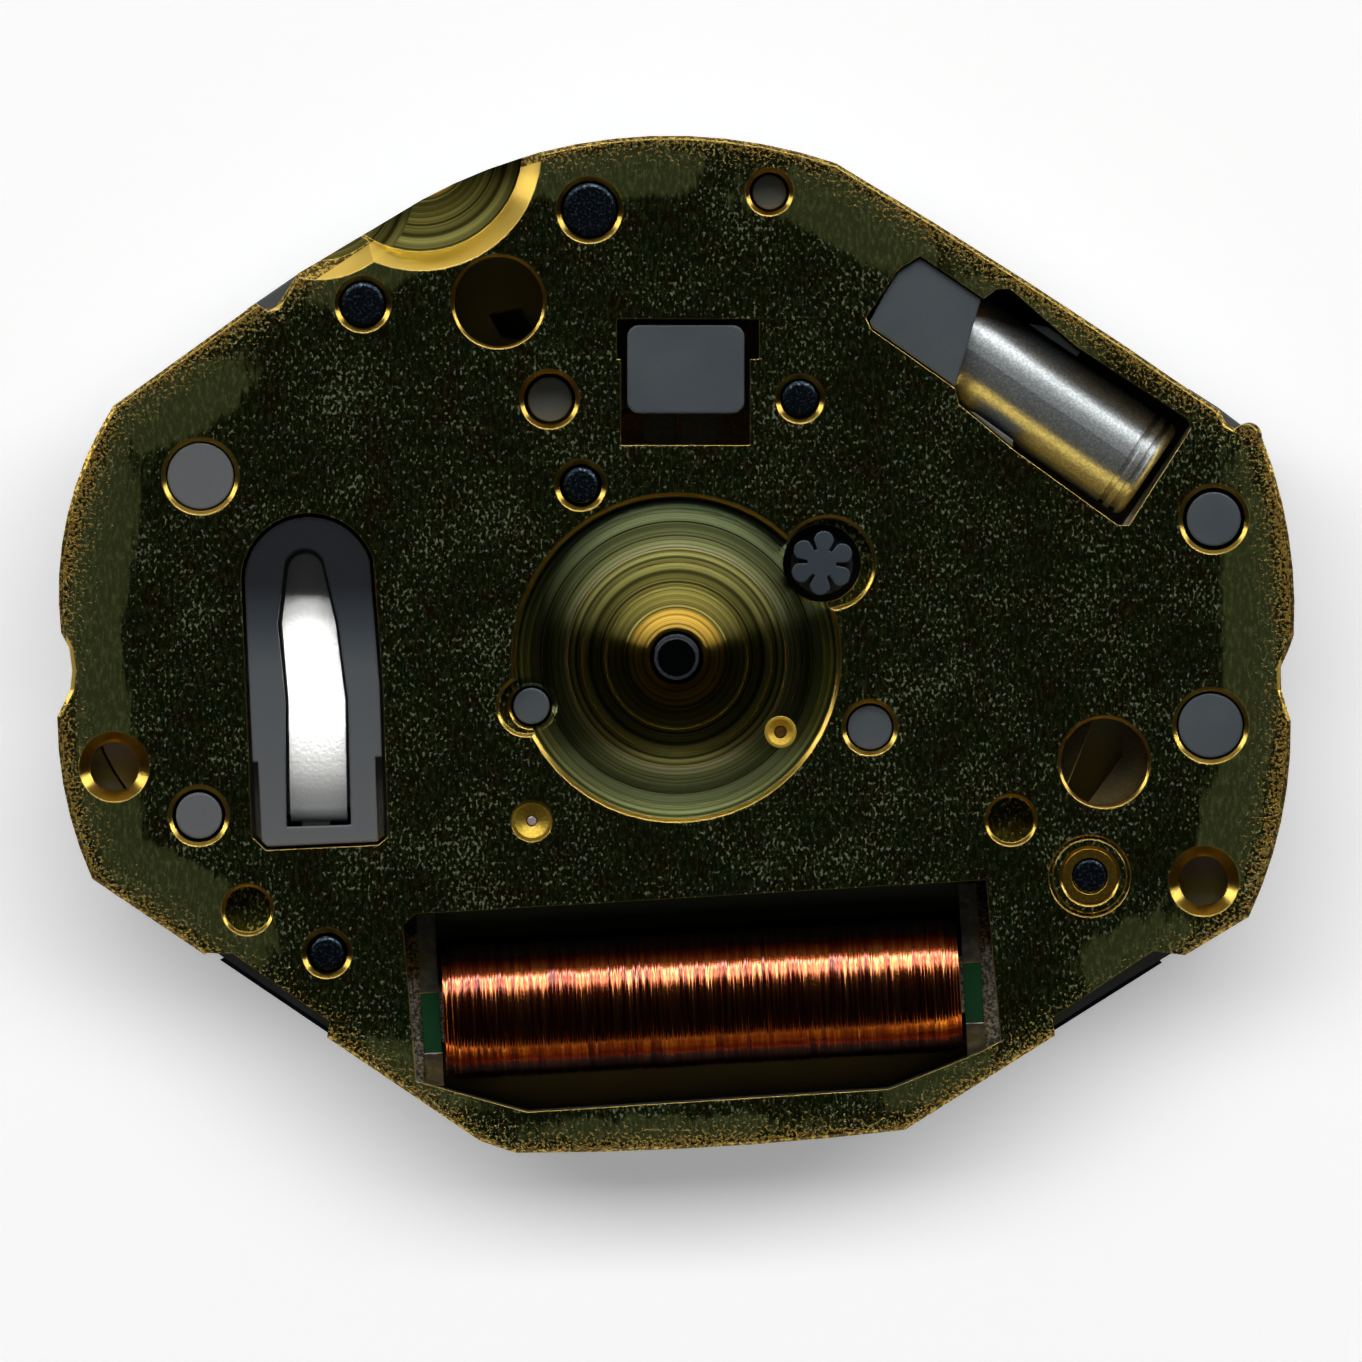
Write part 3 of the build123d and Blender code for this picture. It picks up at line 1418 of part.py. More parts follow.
def intermediate_pinion():
    """Intermediate pinion with its arbor and pivots."""
    third_phase = direction(third_place, intermediate_place)
    phase = mesh_phase(third_phase, third_teeth, third_place, intermediate_place, intermediate_leaves)
    profile = Pos(*intermediate_place) * gear(intermediate_leaves, third_module, phase)
    leaves = slab(profile, intermediate_pinion_top, intermediate_wheel_top)
    arbor = rod(
        intermediate_place, train_arbor_radius, frame_top - pivot_shoulder, frame_bottom + pivot_shoulder
    )
    top = frame_top + intermediate_reach - part_play
    return leaves + arbor + rod(intermediate_place, pivot_radius, top, frame_bottom - bridge_pivot_reach)


def rotor_pinion():
    """Rotor pinion with its sleeve, arbor and pivots."""
    wheel_phase = direction(intermediate_place, rotor_place)
    phase = mesh_phase(wheel_phase, intermediate_teeth, intermediate_place, rotor_place, rotor_leaves)
    leaves = slab(
        Pos(*rotor_place) * gear(rotor_leaves, intermediate_module, phase), rotor_pinion_top,
        rotor_pinion_bottom
    )
    sleeve = rod(rotor_place, rotor_sleeve_radius, magnet_top + pivot_shoulder, rotor_pinion_top)
    arbor = rod(rotor_place, train_arbor_radius, frame_top - pivot_shoulder, frame_bottom + pivot_shoulder)
    top = -rotor_bush_drop - bush_sink_depth
    return leaves + sleeve + arbor + rod(
        rotor_place, rotor_pivot_radius, top, frame_bottom - bridge_pivot_reach
    )


def rotor_magnet():
    ring = Circle(magnet_radius) - Circle(rotor_sleeve_radius)
    return slab(Pos(*rotor_place) * ring, magnet_top, magnet_bottom)


def setting_phase():
    """Half a tooth off +X, so that a gap faces the clutch wheel."""
    return 180 / setting_teeth


def minute_phase():
    return mesh_phase(setting_phase(), setting_teeth, setting_place, minute_place, minute_teeth)


def minute_wheel():
    """Moulded minute wheel, with the pinion that shows in the dial face."""
    bore = minute_post_radius + pivot_play
    wheel_part = slab(
        Pos(*minute_place) * gear(minute_teeth, motion_module, minute_phase()), motion_top, motion_bottom
    )
    neck = rod(minute_place, minute_neck_radius, -minute_pinion_length, motion_top)
    leaves = Pos(*minute_place) * gear(minute_leaves, hour_module, leaf_phase, leaf_width_share)
    pinion = slab(leaves, -minute_pinion_drop, -minute_pinion_length)
    return wheel_part + neck + pinion - rod(minute_place, bore, minute_post_top + part_play, back)


def setting_wheel():
    profile = gear(setting_teeth, motion_module, setting_phase()) - Circle(setting_post_radius + pivot_play)
    return slab(Pos(*setting_place) * profile, motion_top, motion_bottom)


def clutch_wheel():
    """Sliding clutch wheel of the stem: crown teeth at its inner end and a groove for the yoke."""
    axis = Plane(origin=(clutch_inner_end, 0, stem_height), x_dir=(0, 0, 1), z_dir=(1, 0, 0))
    body = Pos(0, 0, crown_tooth_height) * extrude(
        Circle(clutch_radius), amount=clutch_length - crown_tooth_height
    )
    tooth = Pos(clutch_radius - crown_tooth_length / 2, 0) * Rectangle(crown_tooth_length, crown_tooth_width)
    for i in range(clutch_teeth):
        body += Rot(0, 0, i * 360 / clutch_teeth) * extrude(tooth, amount=2 * crown_tooth_height)
    groove = Circle(2 * clutch_radius) - Circle(clutch_groove_radius)
    low = clutch_groove_middle - clutch_inner_end - clutch_groove_width / 2
    body -= Pos(0, 0, low) * extrude(groove, amount=clutch_groove_width)
    body -= Pos(0, 0, -overrun) * extrude(
        Rectangle(clutch_bore_width, clutch_bore_width), amount=clutch_length + 2 * overrun
    )
    return axis * body


def setting_lever():
    """Steel lever that follows the stem: pivot hub, arm, and the stud for the stem's groove."""
    pin = at(lever_pin_px)
    hull = make_hull([
        (Pos(*pin) * Circle(lever_hub_radius)).edge(),
        (Pos(*lever_waist_place) * Circle(lever_waist_radius)).edge(),
    ])
    arm = make_hull([
        (Pos(*lever_waist_place) * Circle(lever_waist_radius)).edge(),
        (Pos(*lever_nose_place) * Circle(lever_nose_radius)).edge(),
    ])
    plate = slab(hull + arm, lever_top, lever_bottom)
    plate += rod(lever_nose_place, lever_stud_radius, lever_bottom, lever_stud_reach)
    plate += rod(spring_stud_place, spring_stud_radius, lever_bottom, keyless_floor + lever_gap)
    return plate - rod(pin, lever_pin_radius + pivot_play, overrun, back)


def yoke_nose_place():
    return (clutch_groove_middle, yoke_nose_reach - yoke_nose_width / 2)


def yoke():
    """Clutch lever: turns on the plate's stud and holds the clutch wheel by its groove."""
    pivot = at(yoke_stud_px)
    elbow = (clutch_groove_middle, yoke_elbow_y)
    arm = make_hull([
        (Pos(*pivot) * Circle(yoke_hub_radius)).edge(),
        (Pos(*elbow) * Circle(yoke_nose_width)).edge(),
    ])
    nose = make_hull([
        (Pos(*elbow) * Circle(yoke_nose_width)).edge(),
        (Pos(*yoke_nose_place()) * Circle(yoke_nose_width / 2)).edge(),
    ])
    plate = slab(arm + nose, yoke_top, yoke_bottom)
    return plate - rod(pivot, yoke_stud_radius + pivot_play, overrun, back)


def setting_spring():
    """Steel jumper that clicks on the setting lever's small stud, held by a screw."""
    arm = make_hull([
        (Pos(*spring_screw_place) * Circle(spring_arm_width)).edge(),
        (Pos(*spring_arm_end) * Circle(spring_arm_width / 2)).edge(),
    ])
    plate = slab(disc(spring_screw_place, spring_base_radius) + arm, spring_top, keyless_floor)
    return plate - rod(spring_screw_place, screw_shank_radius, overrun, back)


def spring_screw():
    head_top = spring_top + spring_head_height
    head = rod(spring_screw_place, spring_head_radius, head_top, spring_top)
    slot = Pos(*spring_screw_place) * Rot(0, 0, screw_angles[0]) * Rectangle(
        3 * spring_head_radius, spring_slot_width
    )
    head -= slab(slot, head_top + overrun, head_top - spring_head_height / 2)
    return head + rod(spring_screw_place, screw_shank_radius, spring_top, keyless_floor - spring_screw_depth)


makers = [
    main_plate, middle_frame, battery_insulator, minus_contact, plus_contact, cell_can, cell_cap, cell_gasket,
    coil_winding, coil_core_tape, coil_core, coil_end_boards, coil_end_pads, stator, coil_tubes, coil_screws,
    frame_pillars, bridge_pillars, cover_tubes, cover_screws, bridge_screws, train_bridge, rotor_jewel,
    third_bush, rotor_bush, lever_pin, lever_collar, circuit_spacer, circuit_board, ic_chip, solder_joints,
    circuit_cover, crystal_can, crystal_header, crystal_leads, crystal_fork,
    centre_wheel, centre_arbor, cannon_pinion, third_wheel, third_pinion, intermediate_wheel,
    intermediate_pinion, rotor_pinion, rotor_magnet, minute_wheel, setting_wheel, clutch_wheel,
    setting_lever, yoke, setting_spring, spring_screw,
]
for make in makers:
    piece = make()
    solids = piece if isinstance(piece, list) else [piece]
    piece = Compound(children=solids) if len(solids) > 1 else solids[0]
    export_step(piece, f"parts/{make.__name__}.step")
    print(make.__name__, round(piece.volume, 4))
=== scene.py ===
# %% [markdown]
# # A small quartz watch movement, seen on its dial side
# The movement lies on its back on a white sheet and the camera looks straight down on the brass plate that
# normally hides behind the dial. The solids come from the imported model, in metres, and stay where they are.
# This lesson gives each of them the finish of the real piece, and rebuilds the one piece whose look depends on
# fine shape, the outer layer of the coil's turns.

# %% Load the frame
import bpy
import random
from math import cos, pi, radians, sin
from types import SimpleNamespace
from mathutils import Matrix, Vector


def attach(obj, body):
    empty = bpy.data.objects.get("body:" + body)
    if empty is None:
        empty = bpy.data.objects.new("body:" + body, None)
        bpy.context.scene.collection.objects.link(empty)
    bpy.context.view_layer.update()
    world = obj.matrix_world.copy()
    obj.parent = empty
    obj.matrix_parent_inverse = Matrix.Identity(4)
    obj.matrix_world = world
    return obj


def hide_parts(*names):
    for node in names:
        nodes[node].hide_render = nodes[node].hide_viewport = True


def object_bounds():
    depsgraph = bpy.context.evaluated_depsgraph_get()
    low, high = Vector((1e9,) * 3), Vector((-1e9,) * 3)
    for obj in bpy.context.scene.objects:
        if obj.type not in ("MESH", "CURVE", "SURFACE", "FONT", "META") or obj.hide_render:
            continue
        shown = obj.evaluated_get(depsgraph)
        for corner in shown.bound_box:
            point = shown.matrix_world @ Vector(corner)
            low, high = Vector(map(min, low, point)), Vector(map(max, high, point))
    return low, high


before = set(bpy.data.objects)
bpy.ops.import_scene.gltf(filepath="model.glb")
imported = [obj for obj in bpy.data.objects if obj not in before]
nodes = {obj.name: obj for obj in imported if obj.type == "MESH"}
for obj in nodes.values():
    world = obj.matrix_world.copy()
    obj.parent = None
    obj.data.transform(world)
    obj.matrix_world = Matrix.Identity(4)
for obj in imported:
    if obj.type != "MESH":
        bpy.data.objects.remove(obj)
cad_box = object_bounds()
mm = 0.001
print(len(nodes), "nodes, overall size in mm", [round(s / mm, 2) for s in cad_box[1] - cad_box[0]])

# %% [markdown]
# ## Reading places off the photograph
# The photograph is 1362 pixels wide and the plate spans 1239 of them, which is 17.5 mm on the real movement. A
# pixel of the photograph becomes a place in the model by its distance from the hand axis.

# %% Places
photo_width_px = 1362
plate_length_px = 1239
plate_length = 17.5 * mm
hand_axis_px = (676.5, 657.5)
px = plate_length / plate_length_px


def at(place_px, height=0.0):
    """A pixel of the photograph as a place in the model."""
    return Vector(((place_px[0] - hand_axis_px[0]) * px, (hand_axis_px[1] - place_px[1]) * px, height))


print("one pixel is", round(px / mm, 5), "mm")

# %% [markdown]
# ## Camera
# A flatbed scanner made the photograph, so there is almost no perspective in it. A very long lens, far above the
# dial face, comes nearest to that while it still behaves like a camera in other views.

# %% Camera
frame_width = photo_width_px * px
camera_distance = 0.30
camera_data = bpy.data.cameras.new("scanner_view")
camera_data.sensor_width = 36.0
camera_data.lens = camera_data.sensor_width / 2 / (frame_width / 2 / camera_distance)
camera_data.clip_start = 0.01
camera_data.clip_end = 5.0
camera = bpy.data.objects.new("scanner_view", camera_data)
camera.location = at((photo_width_px / 2, photo_width_px / 2), camera_distance)
bpy.context.scene.collection.objects.link(camera)
bpy.context.scene.camera = camera
print("lens", round(camera_data.lens), "mm, frame", round(frame_width / mm, 2), "mm wide")

# %% [markdown]
# ## Colours and shader nodes
# Colours are written as sRGB hex values, the way a paint program shows them. Shaders work with linear light, so
# one function converts them. One more function adds a shader node of any kind, with its settings and its links.
# Patterns are drawn in millimetres: the Object coordinates are metres, and each material starts by scaling them.

# %% Helpers for materials


def ink(hex_colour):
    """An sRGB hex colour as the linear colour that a shader needs."""
    parts = [int(hex_colour[i:i + 2], 16) / 255 for i in (1, 3, 5)]
    linear = [c / 12.92 if c <= 0.04045 else ((c + 0.055) / 1.055) ** 2.4 for c in parts]
    return (*linear, 1.0)


def join(node, inputs):
    """Fills a node's inputs, by name or in order, each with a plain value or the socket that feeds it."""
    usable = [socket for socket in node.inputs if socket.enabled]
    for key, value in inputs.items() if isinstance(inputs, dict) else enumerate(inputs):
        socket = usable[key] if isinstance(key, int) else [s for s in usable if s.name == key][0]
        if isinstance(value, bpy.types.NodeSocket):
            node.id_data.links.new(value, socket)
        else:
            socket.default_value = value


def add(tree, kind, inputs=(), output=None, stops=(), **settings):
    """Adds a shader node, and returns the output that is named, or the first one that is in use."""
    node = tree.nodes.new("ShaderNode" + kind)
    for name, value in settings.items():
        setattr(node, name, value)
    for i, (position, colour) in enumerate(stops):
        stop = node.color_ramp.elements[i] if i < 2 else node.color_ramp.elements.new(position)
        stop.position = position
        stop.color = colour if isinstance(colour, tuple) else (colour, colour, colour, 1.0)
    join(node, inputs)
    usable = [socket for socket in node.outputs if socket.enabled and output in (None, socket.name)]
    return usable[0] if usable else node


def start(name, shader_inputs):
    """A new material with one surface shader. Returns the material, its tree, the shader and places in mm."""
    material = bpy.data.materials.new(name)
    material.use_nodes = True
    tree = material.node_tree
    tree.nodes.clear()
    surface = add(tree, "BsdfPrincipled", shader_inputs)
    add(tree, "OutputMaterial", {"Surface": surface})
    place = add(tree, "Mapping", {"Vector": add(tree, "TexCoord", output="Object"), "Scale": (1 / mm,) * 3})
    return material, tree, surface.node, place


def dress(material, *names):
    """Gives CAD nodes their material."""
    for name in names:
        mesh = nodes[name].data
        mesh.materials.clear()
        mesh.materials.append(material)


print("helpers ready; mid grey #808080 is", round(ink("#808080")[0], 3), "in linear light")

# %% [markdown]
# ## The dark above
# In the scanner everything straight above the plate is dark. That is why the flat brass looks almost black in the
# photograph, while each edge that leans towards the lamp shines like gold. So the world is dark above, and a little
# paler along the horizon, which gives the sides something to mirror.

# %% World
world = bpy.data.worlds.new("studio")
world.use_nodes = True
bpy.context.scene.world = world
sky = world.node_tree
sky.nodes.clear()
toward = add(sky, "TexCoord", output="Generated")
# the direction's Y part runs from -1 to 1, and a ramp from 0 to 1
front_to_back = add(sky, "Math", [add(sky, "SeparateXYZ", [toward], "Y"), 0.5, 0.5], operation="MULTIPLY_ADD")
horizon = add(sky, "ValToRGB", [front_to_back], stops=[
    (0.0, ink("#4a4538")), (0.5, ink("#2c2c2c")), (1.0, ink("#7a7a76"))])
above = add(sky, "ValToRGB", [add(sky, "SeparateXYZ", [toward], "Z")], stops=[(0.12, 0.0), (0.34, 1.0)])
studio_light = add(sky, "Mix", [above, horizon, ink("#121413")], data_type="RGBA")
add(sky, "OutputWorld", {"Surface": add(sky, "Background", {"Color": studio_light})})
print("world of", len(sky.nodes), "nodes")

# %% [markdown]
# ## Lamps
# The scanner's lamp is a long bar on the 12 o'clock side, about 30 degrees above the plate. The bar, and its weaker
# image in the scanner's glass, show only in what is shiny. Matt surfaces have a soft lamp of their own from the same
# side, so that holes stay dark. The sheet has a higher one, which keeps the shadow on it as short as it is in the
# photograph. All lamps together light a level surface so that its colour looks as it is written.

# %% Lamps
lamp_distance = 0.55         # metres from the movement


def lamp(name, azimuth, elevation, width, height, radiance, shows_in):
    """A soft rectangular lamp that faces the movement. Its power follows from how bright its face is."""
    data = bpy.data.lights.new(name, "AREA")
    data.shape = "RECTANGLE"
    data.size = width
    data.size_y = height
    data.energy = radiance * pi * width * height
    light = bpy.data.objects.new(name, data)
    level = cos(radians(elevation))
    out = Vector((level * sin(radians(azimuth)), level * cos(radians(azimuth)), sin(radians(elevation))))
    light.location = out * lamp_distance
    light.rotation_euler = (-out).to_track_quat("-Z", "Y").to_euler()
    light.visible_diffuse = shows_in == "matt"
    light.visible_glossy = shows_in == "shiny"
    bpy.context.scene.collection.objects.link(light)
    share = radiance * width * height / lamp_distance ** 2 * sin(radians(elevation)) / pi
    print(name, "lights a level surface to", round(share, 2))
    return light


lamp("bar_lamp", 0, 32, width=2.40, height=0.06, radiance=15.0, shows_in="shiny")
lamp("bar_in_the_glass", 0, 46, width=2.40, height=0.05, radiance=7.0, shows_in="shiny")
lamp("bar_glow", 0, 38, width=2.00, height=0.30, radiance=0.5, shows_in="shiny")
sheet_lamp = lamp("high_softbox", 0, 70, width=0.90, height=0.22, radiance=4.8, shows_in="matt")
matt_lamps = [
    lamp("low_softbox", 0, 36, width=1.20, height=0.25, radiance=4.0, shows_in="matt"),
    lamp("back_fill", 180, 50, width=0.60, height=0.30, radiance=0.7, shows_in="matt")]

# %% [markdown]
# ## Floor
# The sheet under the movement is plain white paper. Its colour alone makes it pale, and a little glow that only the
# camera and mirrors see lifts it to the white of the photograph without lighting the movement.

# %% Floor
floor_half = 1.2
floor_gap = 0.002 * mm
floor_glow = 0.32
floor_height = cad_box[0].z - floor_gap
corners = [(-floor_half, -floor_half), (floor_half, -floor_half), (floor_half, floor_half), (-floor_half, floor_half)]
floor_mesh = bpy.data.meshes.new("white_sheet")
floor_mesh.from_pydata([(x, y, floor_height) for x, y in corners], [], [(0, 1, 2, 3)])
floor = bpy.data.objects.new("white_sheet", floor_mesh)
bpy.context.scene.collection.objects.link(floor)
paper, tree, shader, place = start("white paper, uncoated", {
    "Base Color": ink("#f8f8f8"), "Roughness": 0.9, "Emission Color": ink("#ffffff")})
seen = 0.0
for ray in ("Is Camera Ray", "Is Glossy Ray", "Is Transmission Ray"):
    seen = add(tree, "Math", [seen, add(tree, "LightPath", output=ray)], operation="MAXIMUM")
join(shader, {"Emission Strength": add(tree, "Math", [seen, floor_glow], operation="MULTIPLY")})
floor.data.materials.append(paper)


def link_lamp(light, state):
    """Lets a lamp light the sheet alone, or everything but the sheet."""
    group = bpy.data.collections.new(light.name + "_lights")
    group.objects.link(floor)
    light.light_linking.receiver_collection = group
    group.collection_objects[0].light_linking.link_state = state


link_lamp(sheet_lamp, "INCLUDE")
for matt_lamp in matt_lamps:
    link_lamp(matt_lamp, "EXCLUDE")
print("floor at", round(floor_height / mm, 3), "mm")

# %% [markdown]
# ## How far from the plate's edge
# The plate's wear follows its outline, because tweezers and the case touch it there. A shader can't see an outline,
# so its five straight sides and three arcs are given to it as sums: for each side, how far inside it a point lies.
# The smallest of these is the depth from the edge. An arc only bulges out of its chord, so a point that is inside the
# chord is inside the arc too.

# %% Depth from the edge
outline_arcs = [
    ((390, 218), (694, 136), (836, 163)), ((1262, 437), (1290, 640), (1249, 917)), ((92, 879), (57, 700), (113, 406))]
outline_lines = [
    ((836, 163), (1219, 410)), ((1249, 917), (905, 1130)), ((905, 1135), (515, 1155)), ((480, 1141), (92, 879)),
    ((113, 406), (390, 218))]


def circle_through(a, b, c):
    """Centre and radius of the circle through three places."""
    ab, ac = b - a, c - a
    across = Vector((ac.y * ab.length_squared - ab.y * ac.length_squared,
                     ab.x * ac.length_squared - ac.x * ab.length_squared, 0.0))
    centre = a + across / (2 * (ab.x * ac.y - ab.y * ac.x))
    return centre, (a - centre).length


def line_depth(tree, flat_place, first_px, last_px):
    """How far a point lies on the inner side of a straight line, in mm. The outline runs clockwise."""
    a, b = at(first_px) / mm, at(last_px) / mm
    inward = Vector((b.y - a.y, a.x - b.x, 0.0)).normalized()
    along = add(tree, "VectorMath", [flat_place, inward], operation="DOT_PRODUCT")
    return add(tree, "Math", [along, a.dot(inward)], operation="SUBTRACT")


def edge_depth(tree, flat_place):
    """How far inside the plate's outline a point lies, in mm."""
    depths = [line_depth(tree, flat_place, first, last) for first, last in outline_lines]
    for points in outline_arcs:
        centre, radius = circle_through(*[at(point) / mm for point in points])
        away = add(tree, "VectorMath", [flat_place, centre], operation="DISTANCE")
        inside_circle = add(tree, "Math", [radius, away], operation="SUBTRACT")
        inside_chord = line_depth(tree, flat_place, points[0], points[-1])
        depths.append(add(tree, "Math", [inside_circle, inside_chord], operation="MAXIMUM"))
    nearest = depths[0]
    for depth in depths[1:]:
        nearest = add(tree, "Math", [nearest, depth], operation="MINIMUM")
    return nearest


print("outline of", len(outline_arcs), "arcs and", len(outline_lines), "straight sides")

# %% [markdown]
# ## Worn gilding
# Where the plate was handled and stored its gilding is worn to an olive bloom. It lies in a band inside the edge,
# and more on the sides that are touched, so each patch is an oval at its place in the photograph, limited to that
# band and broken up by fine streaks. The band and the grains of gold at the rim are ramps over the depth from the
# edge. A ramp runs from 0 to 1, so one helper turns stops in millimetres into shares of its reach.

# %% Wear
worn_patches = [
    ((90, 560), (60, 260)), ((110, 760), (60, 160)), ((170, 400), (120, 70)), ((330, 262), (120, 50)),
    ((170, 890), (120, 70)), ((235, 920), (60, 60)), ((640, 168), (80, 40)), ((870, 215), (170, 80)),
    ((1040, 310), (170, 60)), ((1250, 650), (50, 260)), ((1200, 830), (90, 100)), ((1150, 960), (90, 60)),
    ((400, 1080), (130, 50)), ((700, 1140), (220, 30)), ((960, 1090), (100, 50)), ((560, 165), (70, 40))]
band_reach = 2.0            # mm inwards from the edge over which the band's profile is drawn
oval_reach = 1.35           # an oval's wear thins out and ends at this many of its half widths
wear_streaks = [(0.30, 1.0, 0.9), (0.06, 0.30, 0.7)]        # width and length in mm, and how much each sort counts


def over(reach, stops):
    """Ramp stops at places in mm, as shares of the reach that the ramp is drawn over."""
    return [(distance / reach, value) for distance, value in stops]


def worn_share(tree, on):
    """Where the face's gilding is worn, from 0 to 1."""
    total = 0.0
    for centre_px, half_px in worn_patches:
        moved = add(tree, "VectorMath", [on.flat, at(centre_px) / mm], operation="SUBTRACT")
        half = Vector((1 / (half_px[0] * px / mm), 1 / (half_px[1] * px / mm), 0.0))
        oval = add(tree, "VectorMath", [moved, half], operation="MULTIPLY")
        away = add(tree, "VectorMath", [oval], operation="LENGTH")
        inside = add(tree, "Math", [oval_reach, away], operation="SUBTRACT", use_clamp=True)
        total = add(tree, "Math", [total, inside], operation="MAXIMUM")
    band = add(tree, "ValToRGB", [on.band_depth], stops=over(band_reach, [
        (0.04, 0.4), (0.30, 1.0), (0.80, 1.0), (1.32, 0.0)]))
    cover = add(tree, "Math", [total, band], operation="MULTIPLY")
    for width, length, weight in wear_streaks:
        stretched = add(tree, "Mapping", {"Vector": on.flat, "Scale": (1 / width, 1 / length, 1.0)})
        streaky = add(tree, "TexNoise", {"Vector": stretched, "Scale": 1.0, "Detail": 4.0, "Roughness": 0.65})
        streaky = add(tree, "Math", [streaky, 0.5], operation="SUBTRACT")
        streaky = add(tree, "Math", [streaky, weight], operation="MULTIPLY")
        cover = add(tree, "Math", [cover, streaky], operation="ADD")
    worn = add(tree, "ValToRGB", [cover], stops=[(0.40, 0.0), (0.64, 1.0)])
    return add(tree, "Math", [worn, on.face], operation="MULTIPLY")


print(len(worn_patches), "worn patches")

# %% [markdown]
# ## The plate's turned floors
# The recess for the hour wheel was turned on a lathe, so its scratches are rings round the hand axis and its
# reflection opens into two fans, one above and one below. Its floor falls off outwards, more so near the boss, so
# the lower fan is smaller and starts further out. That fall is far below what a solid would show, so the shader
# leans the surface instead. The rings differ more in how bright they are than in height, and the colour does most
# of the work. The milled step has rings round its cutter's two places.

# %% Turned floors
ring_pitch = 0.085           # mm between the fine rings; real ones are nearer 0.01 mm, too fine to show
ring_bands = 0.33            # mm between broader, darker bands of rings
recess_radius = 2.27         # mm
boss_radius = 0.755          # mm
step_cutters = [((420, 149), 1.75), ((318, 185), 1.36)]      # place in the photograph, and radius in mm
turned_reach = 2.5           # mm from the axis over which the ramps are drawn


def turned_floors(tree, flat, sunk, level):
    """Where the floors are turned, with the direction away from the axis and the distance from it."""
    centre = (0.0, 0.0, 0.0)
    inside = add(tree, "VectorMath", [flat], operation="LENGTH")
    inside = add(tree, "Math", [inside, recess_radius], operation="LESS_THAN")
    for cutter_px, radius in step_cutters:
        near = add(tree, "VectorMath", [flat, at(cutter_px) / mm], operation="DISTANCE")
        near = add(tree, "Math", [near, radius], operation="LESS_THAN")
        near = add(tree, "Math", [near, level], operation="MULTIPLY")
        inside = add(tree, "Math", [inside, near], operation="MAXIMUM")
        centre = add(tree, "Mix", [near, centre, at(cutter_px) / mm], data_type="VECTOR")
    turned = add(tree, "Math", [inside, sunk], operation="MULTIPLY")
    from_centre = add(tree, "VectorMath", [flat, centre], operation="SUBTRACT")
    outward = add(tree, "VectorMath", [from_centre], operation="NORMALIZE")
    return turned, outward, add(tree, "VectorMath", [from_centre], operation="LENGTH")


def floor_fall(tree, on):
    """How much a turned floor leans outwards: nothing on the boss, most beside it, and little further out."""
    share = add(tree, "Math", [on.distance, turned_reach], operation="DIVIDE")
    fall = add(tree, "ValToRGB", [share], stops=over(turned_reach, [
        (boss_radius, 0.0), (boss_radius + 0.005, 0.24), (0.925, 0.20), (1.075, 0.04), (2.25, 0.02)]))
    lean = add(tree, "Math", [fall, on.turned], operation="MULTIPLY")
    return add(tree, "VectorMath", [on.outward, lean], operation="SCALE")


def turned_colour(tree, on, made):
    """Gold on the boss, olive and yellow-green further out with a painted highlight ring, near white, at 1.57 mm,
    darkened by fine rings and broader bands.
    """
    share = add(tree, "Math", [on.distance, turned_reach], operation="DIVIDE")
    # the near-white stop at 1.57 mm is a painted highlight ring
    colour = add(tree, "ValToRGB", [share], stops=over(turned_reach, [
        (0.3000, ink("#f6c858")), (0.7000, ink("#d0a844")), (0.7025, ink("#a8a458")), (0.7575, ink("#a89c50")),
        (0.9500, ink("#d4c868")), (1.5375, ink("#dcd880")), (1.5700, ink("#fff8c8")), (1.6025, ink("#ccd088")),
        (2.3000, ink("#b4cc98"))]))
    broad = add(tree, "TexNoise", {"W": on.distance, "Scale": 1 / ring_bands, "Detail": 2.0}, noise_dimensions="1D")
    for pattern, stops in ((broad, [(0.35, ink("#a0a098")), (0.58, ink("#ffffff"))]),
                           (made.ring, [(0.36, ink("#6a6a60")), (0.58, ink("#ffffff"))])):
        tone = add(tree, "ValToRGB", [pattern], stops=stops)
        colour = add(tree, "Mix", [1.0, colour, tone], data_type="RGBA", blend_type="MULTIPLY")
    return colour


print("turned floors: the recess and", len(step_cutters), "places of the step's cutter")

# %% [markdown]
# ## Kinds of surface on the plate
# One material covers the whole plate, so it has to know what each point is: a wall, the brushed dial face, or a
# turned floor below it. The normal says whether a point faces up, and the height whether it is sunk. Each kind is a
# mask of 0 or 1, and they are kept together by name, because colour, shine and relief all ask for them.

# %% Regions of the plate
face_floor = -0.001          # mm; what lies lower than this is sunk below the dial face
upward_from = 0.60           # the normal's upward part from which a surface counts as facing up
level_from = 0.97            # the same for a level one


